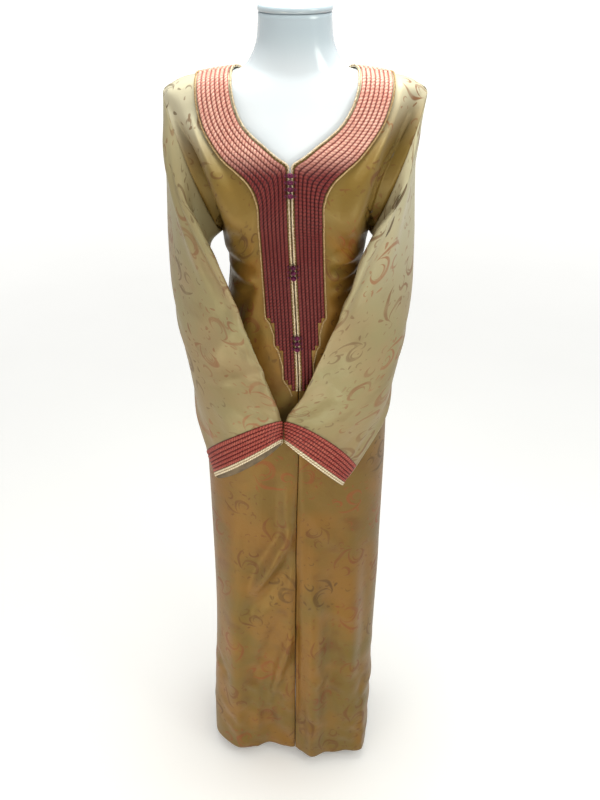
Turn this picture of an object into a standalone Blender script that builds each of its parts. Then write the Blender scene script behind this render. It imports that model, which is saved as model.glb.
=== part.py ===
"""A kaftan worn by a limbless dress form on a stand.

Metres, +Z up, front towards -Y, floor at z = 0, origin on the floor under the form.
The wearer's left side is at +X.
"""
import math
from bisect import bisect_right
from collections import namedtuple

import bmesh
import bpy
from mathutils import Vector

# Driving sizes
CLOTH = 0.0020          # wall of the interlined satin
SEAM = 0.0003           # gap between pieces that are sewn together
LAID = 0.0005           # gap under trim that lies on a panel
HEM = 0.030             # height of the hem above the floor
EDGE_CORD = 0.0045      # strip that the gold edge cord takes on the neck and centre front
PIPING = 0.0045         # strip that the gold piping takes outside the braids
CORD_PITCH = 0.0064     # one braid of the plastron
NECK_PITCH = 0.0070     # one braid at the shoulders
CORDS = 7               # braids side by side round the neck
BRAID_LOW = 0.0012      # braid between its ridges
BRAID_HIGH = 0.0032     # braid on its ridges
TRIM_RADIUS = 0.0016    # gold cords
BUTTON = 0.0046         # radius of a knot button
CUFF_CORDS = 6
CUFF_EDGE = 0.16        # share of the cuff band that its gold edge takes
SLEEVE_POINTS = 24
BACK_COLUMNS = 16
SIDE_COLUMNS = 5

# The worn shape: level sections through the body of the kaftan
Section = namedtuple("Section", "z half middle front back square")
BODY = (
    Section(0.030, 0.176, -0.013, 0.101, 0.168, 3.6),
    Section(0.400, 0.170, -0.003, 0.112, 0.150, 3.0),
    Section(0.660, 0.170, 0.000, 0.115, 0.140, 2.8),
    Section(0.820, 0.171, 0.000, 0.118, 0.130, 2.6),
    Section(0.920, 0.168, 0.000, 0.117, 0.122, 2.5),
    Section(1.000, 0.150, 0.000, 0.108, 0.108, 2.3),
    Section(1.080, 0.126, 0.000, 0.097, 0.092, 2.2),
    Section(1.159, 0.114, 0.000, 0.091, 0.079, 2.2),
    Section(1.215, 0.124, 0.000, 0.101, 0.084, 2.3),
    Section(1.270, 0.152, 0.000, 0.121, 0.094, 2.4),
    Section(1.330, 0.182, 0.000, 0.108, 0.101, 2.6),
    Section(1.390, 0.211, 0.000, 0.084, 0.094, 2.6),
    Section(1.430, 0.214, 0.000, 0.071, 0.080, 2.4),
    Section(1.449, 0.209, 0.000, 0.065, 0.074, 2.3),
    Section(1.466, 0.182, 0.000, 0.060, 0.068, 2.1),
    Section(1.475, 0.152, 0.000, 0.057, 0.065, 2.0),
    Section(1.482, 0.098, 0.000, 0.055, 0.063, 2.0),
    Section(1.498, 0.0745, 0.000, 0.054, 0.061, 2.0),
    Section(1.530, 0.0594, 0.000, 0.050, 0.058, 2.0),
)
SHOULDER_TOP = 1.530    # above this the neck is upright
SHOULDER_TIP = 1.449

# The dress form inside it
FORM = (
    Section(0.800, 0.122, 0.000, 0.080, 0.092, 2.3),
    Section(0.815, 0.138, 0.000, 0.088, 0.102, 2.3),
    Section(0.880, 0.150, 0.000, 0.094, 0.108, 2.3),
    Section(0.960, 0.143, 0.000, 0.090, 0.101, 2.2),
    Section(1.060, 0.112, 0.000, 0.080, 0.080, 2.1),
    Section(1.140, 0.101, 0.000, 0.076, 0.067, 2.1),
    Section(1.210, 0.110, 0.000, 0.088, 0.073, 2.2),
    Section(1.270, 0.127, 0.000, 0.112, 0.084, 2.2),
    Section(1.330, 0.150, 0.000, 0.099, 0.090, 2.3),
    Section(1.390, 0.1760, 0.000, 0.077, 0.0850, 2.4),
    Section(1.425, 0.1950, 0.000, 0.065, 0.0715, 2.3),
    Section(1.4433, 0.1990, 0.000, 0.060, 0.0650, 2.2),
    Section(1.4613, 0.1760, 0.000, 0.055, 0.0595, 2.1),
    Section(1.4708, 0.1470, 0.000, 0.052, 0.0570, 2.0),
    Section(1.4780, 0.0940, 0.000, 0.050, 0.0555, 2.0),
    Section(1.4960, 0.0720, 0.000, 0.049, 0.0560, 2.0),
    Section(1.5300, 0.0594, 0.000, 0.047, 0.056, 2.0),
    Section(1.5650, 0.0570, 0.000, 0.046, 0.056, 2.0),
)

# Where the two fronts meet, which sways a little
Centre = namedtuple("Centre", "z x")
CENTRE = (
    Centre(0.030, -0.004),
    Centre(0.415, -0.002),
    Centre(0.690, 0.001),
    Centre(0.820, 0.005),
    Centre(0.965, 0.005),
    Centre(1.060, 0.002),
    Centre(1.190, -0.004),
    Centre(1.350, -0.0078),
    Centre(1.482, 0.000),
)

# Rows of a front panel, from the shoulder seam down: the neck or centre edge, the outer edge of the
# braids, and the armhole or side seam. Halves are measured from the centre line.
FrontRow = namedtuple("FrontRow", "edge_half edge_z band_half band_z side_z cords")
FRONT_ROWS = (
    FrontRow(0.0980, 1.4820, 0.1520, 1.4750, 1.449, 7),
    FrontRow(0.0975, 1.4785, 0.1515, 1.4670, 1.442, 7),
    FrontRow(0.0965, 1.4655, 0.1500, 1.4510, 1.422, 7),
    FrontRow(0.0925, 1.4470, 0.1455, 1.4300, 1.395, 7),
    FrontRow(0.0860, 1.4300, 0.1375, 1.4080, 1.368, 7),
    FrontRow(0.0760, 1.4130, 0.1230, 1.3850, 1.338, 7),
    FrontRow(0.0610, 1.3980, 0.1035, 1.3620, 1.305, 7),
    FrontRow(0.0420, 1.3835, 0.0830, 1.3460, 1.270, 7),
    FrontRow(0.0215, 1.3680, 0.0650, 1.3300, 1.240, 7),
    FrontRow(0.0015, 1.3530, 0.0540, 1.3120, 1.218, 7),
    FrontRow(0.0015, 1.3250, 0.0495, 1.2920, 1.192, 7),
    FrontRow(0.0015, 1.2850, 0.0493, 1.2650, 1.170, 7),
    FrontRow(0.0015, 1.2420, 0.0493, 1.2300, 1.150, 7),
    FrontRow(0.0015, 1.1950, 0.0493, 1.1900, 1.130, 7),
    FrontRow(0.0015, 1.1450, 0.0493, 1.1430, 1.110, 7),
    FrontRow(0.0015, 1.0940, 0.0493, 1.0940, 1.088, 7),
    FrontRow(0.0015, 1.0860, 0.0493, 1.0860, 1.078, 6),
    FrontRow(0.0015, 1.0650, 0.0493, 1.0650, 1.060, 5),
    FrontRow(0.0015, 1.0460, 0.0493, 1.0460, 1.042, 5),
    FrontRow(0.0015, 1.0380, 0.0493, 1.0380, 1.030, 4),
    FrontRow(0.0015, 1.0120, 0.0493, 1.0120, 1.008, 3),
    FrontRow(0.0015, 0.9850, 0.0493, 0.9850, 0.985, 3),
    FrontRow(0.0015, 0.9760, 0.0493, 0.9760, 0.972, 2),
    FrontRow(0.0015, 0.9650, 0.0493, 0.9650, 0.955, 1),
    FrontRow(0.0016, 0.9200, 0.0520, 0.9200, 0.915, 0),
    FrontRow(0.0017, 0.8600, 0.0560, 0.8600, 0.860, 0),
    FrontRow(0.0018, 0.7800, 0.0600, 0.7800, 0.780, 0),
    FrontRow(0.0020, 0.6700, 0.0640, 0.6700, 0.670, 0),
    FrontRow(0.0020, 0.5400, 0.0680, 0.5400, 0.540, 0),
    FrontRow(0.0020, 0.4000, 0.0710, 0.4000, 0.400, 0),
    FrontRow(0.0020, 0.2700, 0.0740, 0.2700, 0.270, 0),
    FrontRow(0.0020, 0.1400, 0.0760, 0.1400, 0.140, 0),
    FrontRow(0.0020, HEM, 0.0780, HEM, HEM, 0),
)
TIP_ROW = 23            # last row with a braid

# The armhole is an oval that leans in towards the armpit
ARMHOLE_TOP = Vector((0.209, 0.0, SHOULDER_TIP))
ARMPIT = Vector((0.125, 0.0, 1.218))
ARMHOLE_DEPTH = 0.058

# Rows of the back panel below its braids: the armhole or side seam, and the centre back
BackRow = namedtuple("BackRow", "side_z centre_z")
BACK_ROWS = (
    BackRow(1.449, 1.362),
    BackRow(1.412, 1.342),
    BackRow(1.372, 1.318),
    BackRow(1.331, 1.292),
    BackRow(1.290, 1.266),
    BackRow(1.250, 1.242),
    BackRow(1.218, 1.216),
    BackRow(1.170, 1.170),
    BackRow(1.110, 1.110),
    BackRow(1.050, 1.050),
    BackRow(0.985, 0.985),
    BackRow(0.910, 0.910),
    BackRow(0.820, 0.820),
    BackRow(0.700, 0.700),
    BackRow(0.560, 0.560),
    BackRow(0.420, 0.420),
    BackRow(0.280, 0.280),
    BackRow(0.150, 0.150),
    BackRow(HEM, HEM),
)
BACK_NECK = 1.444       # centre back of the neck edge
NECK_HALF = 0.098       # neck edge on the shoulder seam

# The skirt's largest folds: middle, half width and height at the hem, and where each one fades out
Fold = namedtuple("Fold", "x half_width height top")
FRONT_FOLDS = (
    Fold(-0.112, 0.030, 0.012, 0.62),
    Fold(-0.062, 0.024, -0.012, 0.50),
    Fold(0.036, 0.028, 0.030, 0.66),
    Fold(0.096, 0.030, 0.020, 0.55),
    Fold(0.148, 0.026, 0.050, 0.45),
)
BACK_FOLDS = (
    Fold(-0.115, 0.030, 0.012, 0.80),
    Fold(-0.055, 0.026, -0.013, 0.70),
    Fold(0.005, 0.032, 0.014, 0.90),
    Fold(0.062, 0.026, -0.012, 0.66),
    Fold(0.112, 0.028, 0.011, 0.76),
)

# Rings of a sleeve from the armhole to the cuff, each through its four fold lines.
# The first two rings of the cuff band are the last two rows. X is outwards from the centre.
Ring = namedtuple("Ring", "over front under back")
RIGHT_SLEEVE = (
    Ring((0.2125, -0.001, 1.388), (0.1790, -0.074, 1.290), (0.1400, -0.004, 1.209), (0.1840, 0.066, 1.298)),
    Ring((0.2120, -0.006, 1.318), (0.1620, -0.087, 1.245), (0.1480, -0.008, 1.196), (0.1900, 0.069, 1.262)),
    Ring((0.2100, -0.014, 1.250), (0.1370, -0.096, 1.195), (0.1500, -0.016, 1.170), (0.1960, 0.065, 1.220)),
    Ring((0.2060, -0.026, 1.180), (0.1120, -0.104, 1.142), (0.1460, -0.028, 1.132), (0.2000, 0.053, 1.168)),
    Ring((0.1960, -0.045, 1.105), (0.0870, -0.113, 1.080), (0.1420, -0.048, 1.072), (0.2010, 0.034, 1.105)),
    Ring((0.1760, -0.072, 1.034), (0.0610, -0.124, 1.018), (0.1400, -0.077, 0.998), (0.1965, 0.008, 1.035)),
    Ring((0.1500, -0.104, 0.978), (0.0400, -0.135, 0.967), (0.1280, -0.104, 0.935), (0.1880, -0.022, 0.960)),
    Ring((0.1220, -0.138, 0.936), (0.0280, -0.142, 0.936), (0.1100, -0.122, 0.892), (0.1790, -0.058, 0.885)),
    Ring((0.0980, -0.152, 0.900), (0.0244, -0.143, 0.920), (0.0980, -0.126, 0.868), (0.1640, -0.090, 0.824)),
    Ring((0.0890, -0.155, 0.842), (0.0244, -0.141, 0.876), (0.0880, -0.128, 0.812), (0.1480, -0.104, 0.776)),
)
LEFT_SLEEVE = (
    Ring((0.1985, -0.001, 1.388), (0.1680, -0.074, 1.290), (0.1340, -0.004, 1.208), (0.1760, 0.066, 1.298)),
    Ring((0.1955, -0.006, 1.318), (0.1420, -0.087, 1.245), (0.1370, -0.008, 1.193), (0.1790, 0.069, 1.262)),
    Ring((0.1925, -0.014, 1.250), (0.1160, -0.097, 1.195), (0.1380, -0.018, 1.165), (0.1830, 0.065, 1.220)),
    Ring((0.1900, -0.026, 1.180), (0.0960, -0.106, 1.142), (0.1380, -0.032, 1.125), (0.1870, 0.053, 1.168)),
    Ring((0.1830, -0.045, 1.105), (0.0640, -0.116, 1.080), (0.1400, -0.052, 1.068), (0.1870, 0.034, 1.105)),
    Ring((0.1640, -0.074, 1.034), (0.0360, -0.128, 1.018), (0.1380, -0.080, 0.998), (0.1850, 0.006, 1.035)),
    Ring((0.1340, -0.108, 0.976), (0.0120, -0.140, 0.967), (0.1200, -0.110, 0.935), (0.1780, -0.030, 0.962)),
    Ring((0.0940, -0.143, 0.934), (-0.0080, -0.147, 0.934), (0.0920, -0.128, 0.892), (0.1590, -0.080, 0.888)),
    Ring((0.0500, -0.158, 0.895), (-0.0174, -0.148, 0.9215), (0.0520, -0.134, 0.870), (0.1110, -0.116, 0.808)),
    Ring((0.0340, -0.160, 0.838), (-0.0174, -0.146, 0.8785), (0.0340, -0.137, 0.822), (0.0850, -0.125, 0.772)),
)
RING_SQUARE = 2.4       # how blunt the folds of a flattened sleeve are

# Buttons: height of the top one of each group and how many it has
ButtonGroup = namedtuple("ButtonGroup", "top_z count")
BUTTON_GROUPS = (ButtonGroup(1.341, 4), ButtonGroup(1.190, 3), ButtonGroup(1.062, 3))
BUTTON_PITCH = 0.0098
BUTTON_LIFT = 0.0079    # its middle over the panels, nestled between the two gold cords

# Stand
POLE_RADIUS = 0.0125
BASE_RADIUS = 0.120
BASE_MIDDLE_Y = 0.045
BASE_THICK = 0.010
COLLAR_RADIUS = 0.026
COLLAR_HEIGHT = 0.030
FORM_SIDES = 28
CAP_RISE = 0.012

Look = namedtuple("Look", "colour rough metal")
SATIN = Look((0.36, 0.25, 0.11), 0.42, 0.0)
BRAID = Look((0.32, 0.07, 0.05), 0.55, 0.0)
GOLD = Look((0.62, 0.45, 0.20), 0.38, 0.35)
PURPLE = Look((0.09, 0.01, 0.03), 0.50, 0.0)
GLOSS_WHITE = Look((0.86, 0.87, 0.90), 0.18, 0.0)
STEEL = Look((0.55, 0.56, 0.58), 0.30, 0.9)


def clear_scene():
    for item in list(bpy.data.objects):
        bpy.data.objects.remove(item, do_unlink=True)


def slope(keys, values, i):
    """Slope of a smooth curve at a table's row, level at its ends and turns."""
    if i in (0, len(keys) - 1):
        return 0.0
    before = (values[i] - values[i - 1]) / (keys[i] - keys[i - 1])
    after = (values[i + 1] - values[i]) / (keys[i + 1] - keys[i])
    if before * after <= 0:
        return 0.0
    return 2 * before * after / (before + after)


def along(rows, name, at):
    """A table's named column at a place of its first column, read on a smooth curve."""
    keys = [row[0] for row in rows]
    values = [getattr(row, name) for row in rows]
    at = min(max(at, keys[0]), keys[-1])
    i = max(min(bisect_right(keys, at), len(keys) - 1) - 1, 0)
    span = keys[i + 1] - keys[i]
    t = (at - keys[i]) / span
    start = (2 * t**3 - 3 * t**2 + 1) * values[i] + (t**3 - 2 * t**2 + t) * span * slope(keys, values, i)
    end = (3 * t**2 - 2 * t**3) * values[i + 1] + (t**3 - t**2) * span * slope(keys, values, i + 1)
    return start + end


def ease(low, high, value):
    """0 below low, 1 above high, smooth between."""
    t = min(max((value - low) / (high - low), 0.0), 1.0)
    return t * t * (3 - 2 * t)


def reach(point):
    """Under 1 inside the worn shape, over 1 outside it."""
    x, y, z = point
    depth = along(BODY, "front" if y < 0 else "back", z)
    square = along(BODY, "square", z)
    across = abs(x - along(BODY, "middle", z)) / along(BODY, "half", z)
    return across**square + abs(y / depth)**square


def outward(point):
    """Unit normal of the worn shape near a point."""
    step = 0.0008
    axes = (Vector((step, 0, 0)), Vector((0, step, 0)), Vector((0, 0, step)))
    normal = Vector([reach(point + axis) - reach(point - axis) for axis in axes])
    if abs(point.y) < 2 * SEAM:
        normal.y = 0.0
    return normal.normalized()


def walk_out(start, direction):
    """The point where a ray from inside leaves the worn shape."""
    direction = direction.normalized()
    near, far = 0.0, 0.5
    for _ in range(34):
        middle = (near + far) / 2
        if reach(start + direction * middle) < 1:
            near = middle
        else:
            far = middle
    return start + direction * near


def shoulder_height(x):
    """Height of the shoulder line over a distance from the centre."""
    low, high = SHOULDER_TIP, SHOULDER_TOP
    for _ in range(30):
        middle = (low + high) / 2
        if along(BODY, "half", middle) > abs(x):
            low = middle
        else:
            high = middle
    return low


def on_body(guess):
    """Moves a rough point out onto the worn shape."""
    share = ease(1.28, 1.40, guess.z)
    middle = along(BODY, "middle", guess.z)
    level = min(guess.z, shoulder_height(guess.x) - 0.055)
    start = Vector((middle + share * (guess.x - middle), 0.0, level))
    return walk_out(start, guess - start)


def over(x, z, facing):
    """The point of the worn shape's front (-1) or back (1) at a place of the front view."""
    z = min(z, shoulder_height(x))
    if reach(Vector((x, facing * SEAM / 2, z))) >= 1:
        return Vector((x, facing * SEAM / 2, z))
    start = Vector((x, facing * SEAM / 2, z))
    return walk_out(start, Vector((0, facing, 0)))


def armhole(z, side, facing):
    """A point of the armhole at a height."""
    middle = (ARMHOLE_TOP + ARMPIT) / 2
    half = (ARMHOLE_TOP - ARMPIT) / 2
    turn = min(max((z - middle.z) / half.z, -1.0), 1.0)
    depth = max(ARMHOLE_DEPTH * math.sqrt(1 - turn * turn), SEAM / 2)
    return Vector((side * (middle.x + half.x * turn), facing * depth, z))


def side_edge(z, side, facing):
    """The outer edge of a panel at a height: its armhole, or the side seam under the armpit."""
    if z >= ARMPIT.z:
        return armhole(z, side, facing)
    start = Vector((0.0, facing * SEAM / 2, z))
    return walk_out(start, Vector((side, 0, 0)))


def folded(point, folds, facing):
    """Moves a point of the skirt forward or back by the folds that reach it."""
    lift = 0.0
    for fold in folds:
        fade = 1 - ease(HEM, fold.top, point.z)
        lift += fold.height * fade * math.exp(-((point.x - fold.x) / fold.half_width)**2)
    return point + Vector((0, facing * lift * abs(outward(point).y), 0))


def band_offsets(row_pitch):
    """Distances from the neck or centre edge to each line that the trims follow."""
    start = EDGE_CORD
    lines = [0.0] + [start + row_pitch * i for i in range(CORDS + 1)]
    return lines + [lines[-1] + PIPING]


def front_grid(side):
    """Outer points of a front panel, a list for each row from the shoulder down."""
    rows = []
    for number, row in enumerate(FRONT_ROWS):
        edge = Vector((side * row.edge_half + along(CENTRE, "x", row.edge_z), row.edge_z))
        band = Vector((side * row.band_half + along(CENTRE, "x", row.band_z), row.band_z))
        lines = band_offsets(CORD_PITCH)
        points = []
        for line in lines:
            flat = edge.lerp(band, line / lines[-2])
            height = shoulder_height(flat.x) if number == 0 else flat.y
            points.append(over(flat.x, height, -1))
        start = points[-1]
        end = side_edge(row.side_z, side, -1)
        for column in range(1, SIDE_COLUMNS):
            guess = start.lerp(end, column / SIDE_COLUMNS)
            if number == 0:
                points.append(over(guess.x, shoulder_height(guess.x), -1))
            else:
                points.append(on_body(guess))
        points.append(end)
        rows.append([folded(point, FRONT_FOLDS, -1) for point in points])
    return rows


def back_neck_point(turn, distance):
    """A point on the back at a turn from the shoulder (0) to the other shoulder (180 degrees)."""
    x = (NECK_HALF + distance) * math.cos(turn)
    drop = math.sin(turn)**2
    level = shoulder_height(max(abs(x), NECK_HALF))
    height = (1 - drop) * level + drop * (BACK_NECK - distance)
    return over(x, height, 1)


def back_grid():
    """Outer points of the back, a list for each row from the neck edge out and down."""
    turns = [math.pi * i / BACK_COLUMNS for i in range(BACK_COLUMNS + 1)]
    rows = [[back_neck_point(turn, line) for turn in turns] for line in band_offsets(NECK_PITCH)]
    for number, row in enumerate(BACK_ROWS):
        ends = side_edge(row.side_z, 1, 1), side_edge(row.side_z, -1, 1)
        middle = over(along(BODY, "middle", row.centre_z), row.centre_z, 1)
        points = []
        for column in range(BACK_COLUMNS + 1):
            share = 2 * column / BACK_COLUMNS
            end = ends[0] if share < 1 else ends[1]
            toward = 1 - share if share < 1 else share - 1
            if toward == 1:
                points.append(end)
            else:
                points.append(on_body(middle.lerp(end, toward)))
        rows.append([folded(point, BACK_FOLDS, 1) for point in points])
    return rows


def moved(rows, distance):
    """Points of a panel moved out along the worn shape's normal."""
    return [[point + outward(point) * distance for point in row] for row in rows]


def sleeve_ring(ring, side, count):
    """Points of one ring of a sleeve, from the overarm fold round the front."""
    over_arm, front, under, back = [Vector((side * x, y, z)) for x, y, z in ring]
    middle = (over_arm + front + under + back) / 4
    skew = (over_arm + under - front - back) / 4
    points = []
    for i in range(count):
        turn = 2 * math.pi * i / count
        up = math.copysign(abs(math.cos(turn))**(2 / RING_SQUARE), math.cos(turn))
        out = math.copysign(abs(math.sin(turn))**(2 / RING_SQUARE), math.sin(turn))
        bend = skew * math.cos(2 * turn)
        points.append(middle + (over_arm - under) / 2 * up + (front - back) / 2 * out + bend)
    return points


def armhole_ring(side, inset):
    """The sleeve's first ring, just outside the panels' armhole."""
    middle = (ARMHOLE_TOP + ARMPIT) / 2
    half = (ARMHOLE_TOP - ARMPIT) / 2
    away = Vector((half.z, 0, -half.x)).normalized() * SEAM
    points = []
    for i in range(SLEEVE_POINTS):
        turn = 2 * math.pi * i / SLEEVE_POINTS
        spot = middle + half * math.cos(turn) * (1 - inset / half.length) + away
        spot.y = -(ARMHOLE_DEPTH - inset) * math.sin(turn)
        points.append(Vector((side * spot.x, spot.y, spot.z)))
    return points


def between(low, high, share):
    return [a.lerp(b, share) for a, b in zip(low, high)]


def smooth_rings(rings, extra):
    """Adds rings between the given ones on smooth curves along the sleeve."""
    result = []
    for i in range(len(rings) - 1):
        before = rings[max(i - 1, 0)]
        after = rings[min(i + 2, len(rings) - 1)]
        for step in range(extra + 1):
            t = step / (extra + 1)
            row = []
            for a, b, c, d in zip(before, rings[i], rings[i + 1], after):
                bend = (c - a) * t + (2 * a - 5 * b + 4 * c - d) * t**2 + (3 * b - 3 * c + d - a) * t**3
                row.append(b + bend / 2)
            result.append(row)
    result.append(rings[-1])
    return result


def ring_normals(rings, side):
    """Outward normals of a tube of rings."""
    count = len(rings[0])
    normals = []
    for j, ring in enumerate(rings):
        up = rings[max(j - 1, 0)]
        down = rings[min(j + 1, len(rings) - 1)]
        row = []
        for i in range(count):
            round_way = ring[(i + 1) % count] - ring[i - 1]
            down_way = down[i] - up[i]
            row.append(round_way.cross(down_way).normalized() * side)
        normals.append(row)
    return normals


def sleeve_grid(table, side):
    """Outer and inner points of a sleeve, and its normals."""
    given = [sleeve_ring(ring, side, SLEEVE_POINTS) for ring in table]
    body = smooth_rings([armhole_ring(side, 0.0)] + given[:-1], 0)
    cuff_edge = between(given[-1], given[-2], CUFF_EDGE)
    outer = body + [cuff_edge, given[-1]]
    normals = ring_normals(outer, side)
    inner = [[p - n * CLOTH for p, n in zip(ring, row)] for ring, row in zip(outer, normals)]
    inner[0] = armhole_ring(side, CLOTH)
    return outer, inner, normals


def make_object(name, vertices, faces, look):
    mesh = bpy.data.meshes.new(name)
    mesh.from_pydata([tuple(v) for v in vertices], [], faces)
    mesh.materials.append(material(name, look))
    obj = bpy.data.objects.new(name, mesh)
    kaftan.objects.link(obj)
    tidy = bmesh.new()
    tidy.from_mesh(mesh)
    bmesh.ops.recalc_face_normals(tidy, faces=tidy.faces)
    tidy.to_mesh(mesh)
    tidy.free()
    mesh.shade_smooth()
    return obj


def material(name, look):
    made = bpy.data.materials.new(name)
    made.use_nodes = True
    surface = made.node_tree.nodes["Principled BSDF"]
    surface.inputs["Base Color"].default_value = (*look.colour, 1)
    surface.inputs["Roughness"].default_value = look.rough
    surface.inputs["Metallic"].default_value = look.metal
    return made


def wall(name, outer, inner, look, closed=False):
    """A cloth wall between two grids of points, closed along its edges."""
    width = len(outer[0])
    height = len(outer)
    vertices = [p for row in outer for p in row] + [p for row in inner for p in row]
    shift = width * height
    faces = []
    steps = width if closed else width - 1
    for j in range(height - 1):
        for i in range(steps):
            k = (i + 1) % width
            quad = (j * width + i, j * width + k, (j + 1) * width + k, (j + 1) * width + i)
            faces.append(quad)
            faces.append(tuple(v + shift for v in reversed(quad)))
        if not closed:
            for i in (0, width - 1):
                top, low = j * width + i, (j + 1) * width + i
                faces.append((top, low, low + shift, top + shift))
    for j in (0, height - 1):
        for i in range(steps):
            k = (i + 1) % width
            a, b = j * width + i, j * width + k
            faces.append((a, b, b + shift, a + shift))
    return make_object(name, vertices, faces, look)


def braided(name, lines, normals, live, look, closed=False):
    """Braids side by side between lines of points: line i and i + 1 are the sides of braid i.

    live(braid, step) says whether a braid is there on the stretch after a point.
    The top has a ridge along each braid and the underside is plain.
    """
    count = len(lines[0])
    braids = len(lines) - 1
    low = {}
    top = {}
    ridge = {}
    vertices = []

    def corner(store, i, j, point, normal, height):
        if (i, j) not in store:
            store[i, j] = len(vertices)
            vertices.append(point + normal * height)
        return store[i, j]

    faces = []
    steps = count if closed else count - 1
    for i in range(braids):
        for j in range(steps):
            if not live(i, j):
                continue
            ends = (j, (j + 1) % count)
            under = [[corner(low, i + s, e, lines[i + s][e], normals[i + s][e], LAID) for e in ends]
                     for s in (0, 1)]
            side = [[corner(top, i + s, e, lines[i + s][e], normals[i + s][e], BRAID_LOW) for e in ends]
                    for s in (0, 1)]
            crest = [corner(ridge, i, e, (lines[i][e] + lines[i + 1][e]) / 2,
                            (normals[i][e] + normals[i + 1][e]).normalized(), BRAID_HIGH) for e in ends]
            faces.append((side[0][0], side[0][1], crest[1], crest[0]))
            faces.append((crest[0], crest[1], side[1][1], side[1][0]))
            faces.append((under[0][0], under[1][0], under[1][1], under[0][1]))
            for s, neighbour in ((0, i - 1), (1, i + 1)):
                if not 0 <= neighbour < braids or not live(neighbour, j):
                    faces.append((under[s][0], under[s][1], side[s][1], side[s][0]))
            for end, step in ((0, j - 1), (1, j + 1)):
                beyond = step % count if closed else step
                if not 0 <= beyond < steps or not live(i, beyond):
                    faces.append((under[0][end], side[0][end], crest[end], side[1][end], under[1][end]))
    return make_object(name, vertices, faces, look)


def laid_cord(name, points, look):
    """A thin round cord along points."""
    curve = bpy.data.curves.new(name, "CURVE")
    curve.dimensions = "3D"
    curve.bevel_depth = TRIM_RADIUS
    curve.bevel_resolution = 1
    curve.use_fill_caps = True
    spline = curve.splines.new("POLY")
    spline.points.add(len(points) - 1)
    for spot, point in zip(spline.points, points):
        spot.co = (*point, 1)
    curve.materials.append(material(name, look))
    obj = bpy.data.objects.new(name, curve)
    kaftan.objects.link(obj)
    return obj


def columns(rows):
    return [list(column) for column in zip(*rows)]


def normals_of(lines):
    return [[outward(point) for point in line] for line in lines]


def lifted(a, b, share=0.5):
    """A cord's middle over the strip between two points of a panel."""
    spot = a.lerp(b, share)
    return spot + outward(spot) * (TRIM_RADIUS + LAID + SEAM)


def edge_path(front_lines):
    """The gold edge cord on a front, from the plastron's tip up to the shoulder."""
    inner, outer = front_lines[0], front_lines[1]
    return [lifted(inner[j], outer[j]) for j in range(TIP_ROW, -1, -1)]


def piping_path(front_lines):
    """The gold piping on a front, from the plastron's tip up round its steps to the shoulder."""
    share = 0.36
    path = [lifted(front_lines[1][TIP_ROW + 1], front_lines[2][TIP_ROW + 1], 0.2)]
    path[0] = path[0].lerp(lifted(front_lines[1][TIP_ROW], front_lines[2][TIP_ROW], 0.2), 0.8)
    for j in range(TIP_ROW, -1, -1):
        braids = FRONT_ROWS[j].cords
        here = front_lines[braids + 1][j]
        beyond = front_lines[min(braids + 2, len(front_lines) - 1)][j]
        path.append(lifted(here, beyond, share if braids < CORDS else 0.5))
    return path


def make_fronts():
    paths = {}
    for side, name in ((-1, "right"), (1, "left")):
        outer = front_grid(side)
        wall("front_" + name, outer, moved(outer, -CLOTH), SATIN)
        lines = columns(outer)
        band = lines[1:CORDS + 2]
        braided("braid_front_" + name, band, normals_of(band),
                lambda braid, step: braid < FRONT_ROWS[step + 1].cords, BRAID)
        paths[side] = (edge_path(lines), piping_path(lines), lines[0])
    return paths


def make_back():
    outer = back_grid()
    wall("back", outer, moved(outer, -CLOTH), SATIN)
    band = outer[1:CORDS + 2]
    braided("braid_back_neck", band, normals_of(band), lambda braid, step: True, BRAID)
    edge = [lifted(a, b) for a, b in zip(outer[0], outer[1])]
    piping = [lifted(a, b) for a, b in zip(outer[CORDS + 1], outer[CORDS + 2])]
    return edge[1:-1], piping[1:-1]


def make_gold_cords(paths, back_edge, back_piping):
    """Each gold cord runs from one tip of the plastron round the neck to the other."""
    for name, which, back in (("edge_cord", 0, back_edge), ("piping", 1, back_piping)):
        left, right = paths[1][which], paths[-1][which]
        laid_cord(name, left + back + right[::-1], GOLD)


def make_sleeves():
    for side, name, table in ((-1, "right", RIGHT_SLEEVE), (1, "left", LEFT_SLEEVE)):
        outer, inner, normals = sleeve_grid(table, side)
        wall("sleeve_" + name, outer, inner, SATIN, closed=True)
        top, edge, end = outer[-3:]
        top_n, edge_n, end_n = normals[-3:]
        lines = [between(edge, top, i / CUFF_CORDS) for i in range(CUFF_CORDS + 1)]
        line_normals = [between(edge_n, top_n, i / CUFF_CORDS) for i in range(CUFF_CORDS + 1)]
        braided("cuff_braid_" + name, lines, line_normals, lambda braid, step: True, BRAID, closed=True)
        gold = [between(end, edge, 0.04), between(end, edge, 0.96)]
        gold_normals = [end_n, edge_n]
        braided("cuff_edge_" + name, gold, gold_normals, lambda braid, step: True, GOLD, closed=True)


def centre_spot(edges, z):
    """The point between the two fronts' centre edges at a height."""
    spots = []
    for edge in edges:
        j = next(j for j in range(len(edge) - 1) if edge[j + 1].z <= z)
        spots.append(edge[j].lerp(edge[j + 1], (edge[j].z - z) / (edge[j].z - edge[j + 1].z)))
    return (spots[0] + spots[1]) / 2


def make_buttons(edges):
    for group, (top_z, count) in enumerate(BUTTON_GROUPS):
        for number in range(count):
            spot = centre_spot(edges, top_z - BUTTON_PITCH * number)
            bpy.ops.mesh.primitive_uv_sphere_add(segments=8, ring_count=5, radius=BUTTON)
            knot = bpy.context.object
            knot.name = knot.data.name = f"button_{group + 1}_{number + 1}"
            knot.location = spot + outward(spot) * BUTTON_LIFT
            knot.data.materials.append(material(knot.name, PURPLE))
            knot.data.shade_smooth()
            for home in list(knot.users_collection):
                home.objects.unlink(knot)
            kaftan.objects.link(knot)


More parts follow.
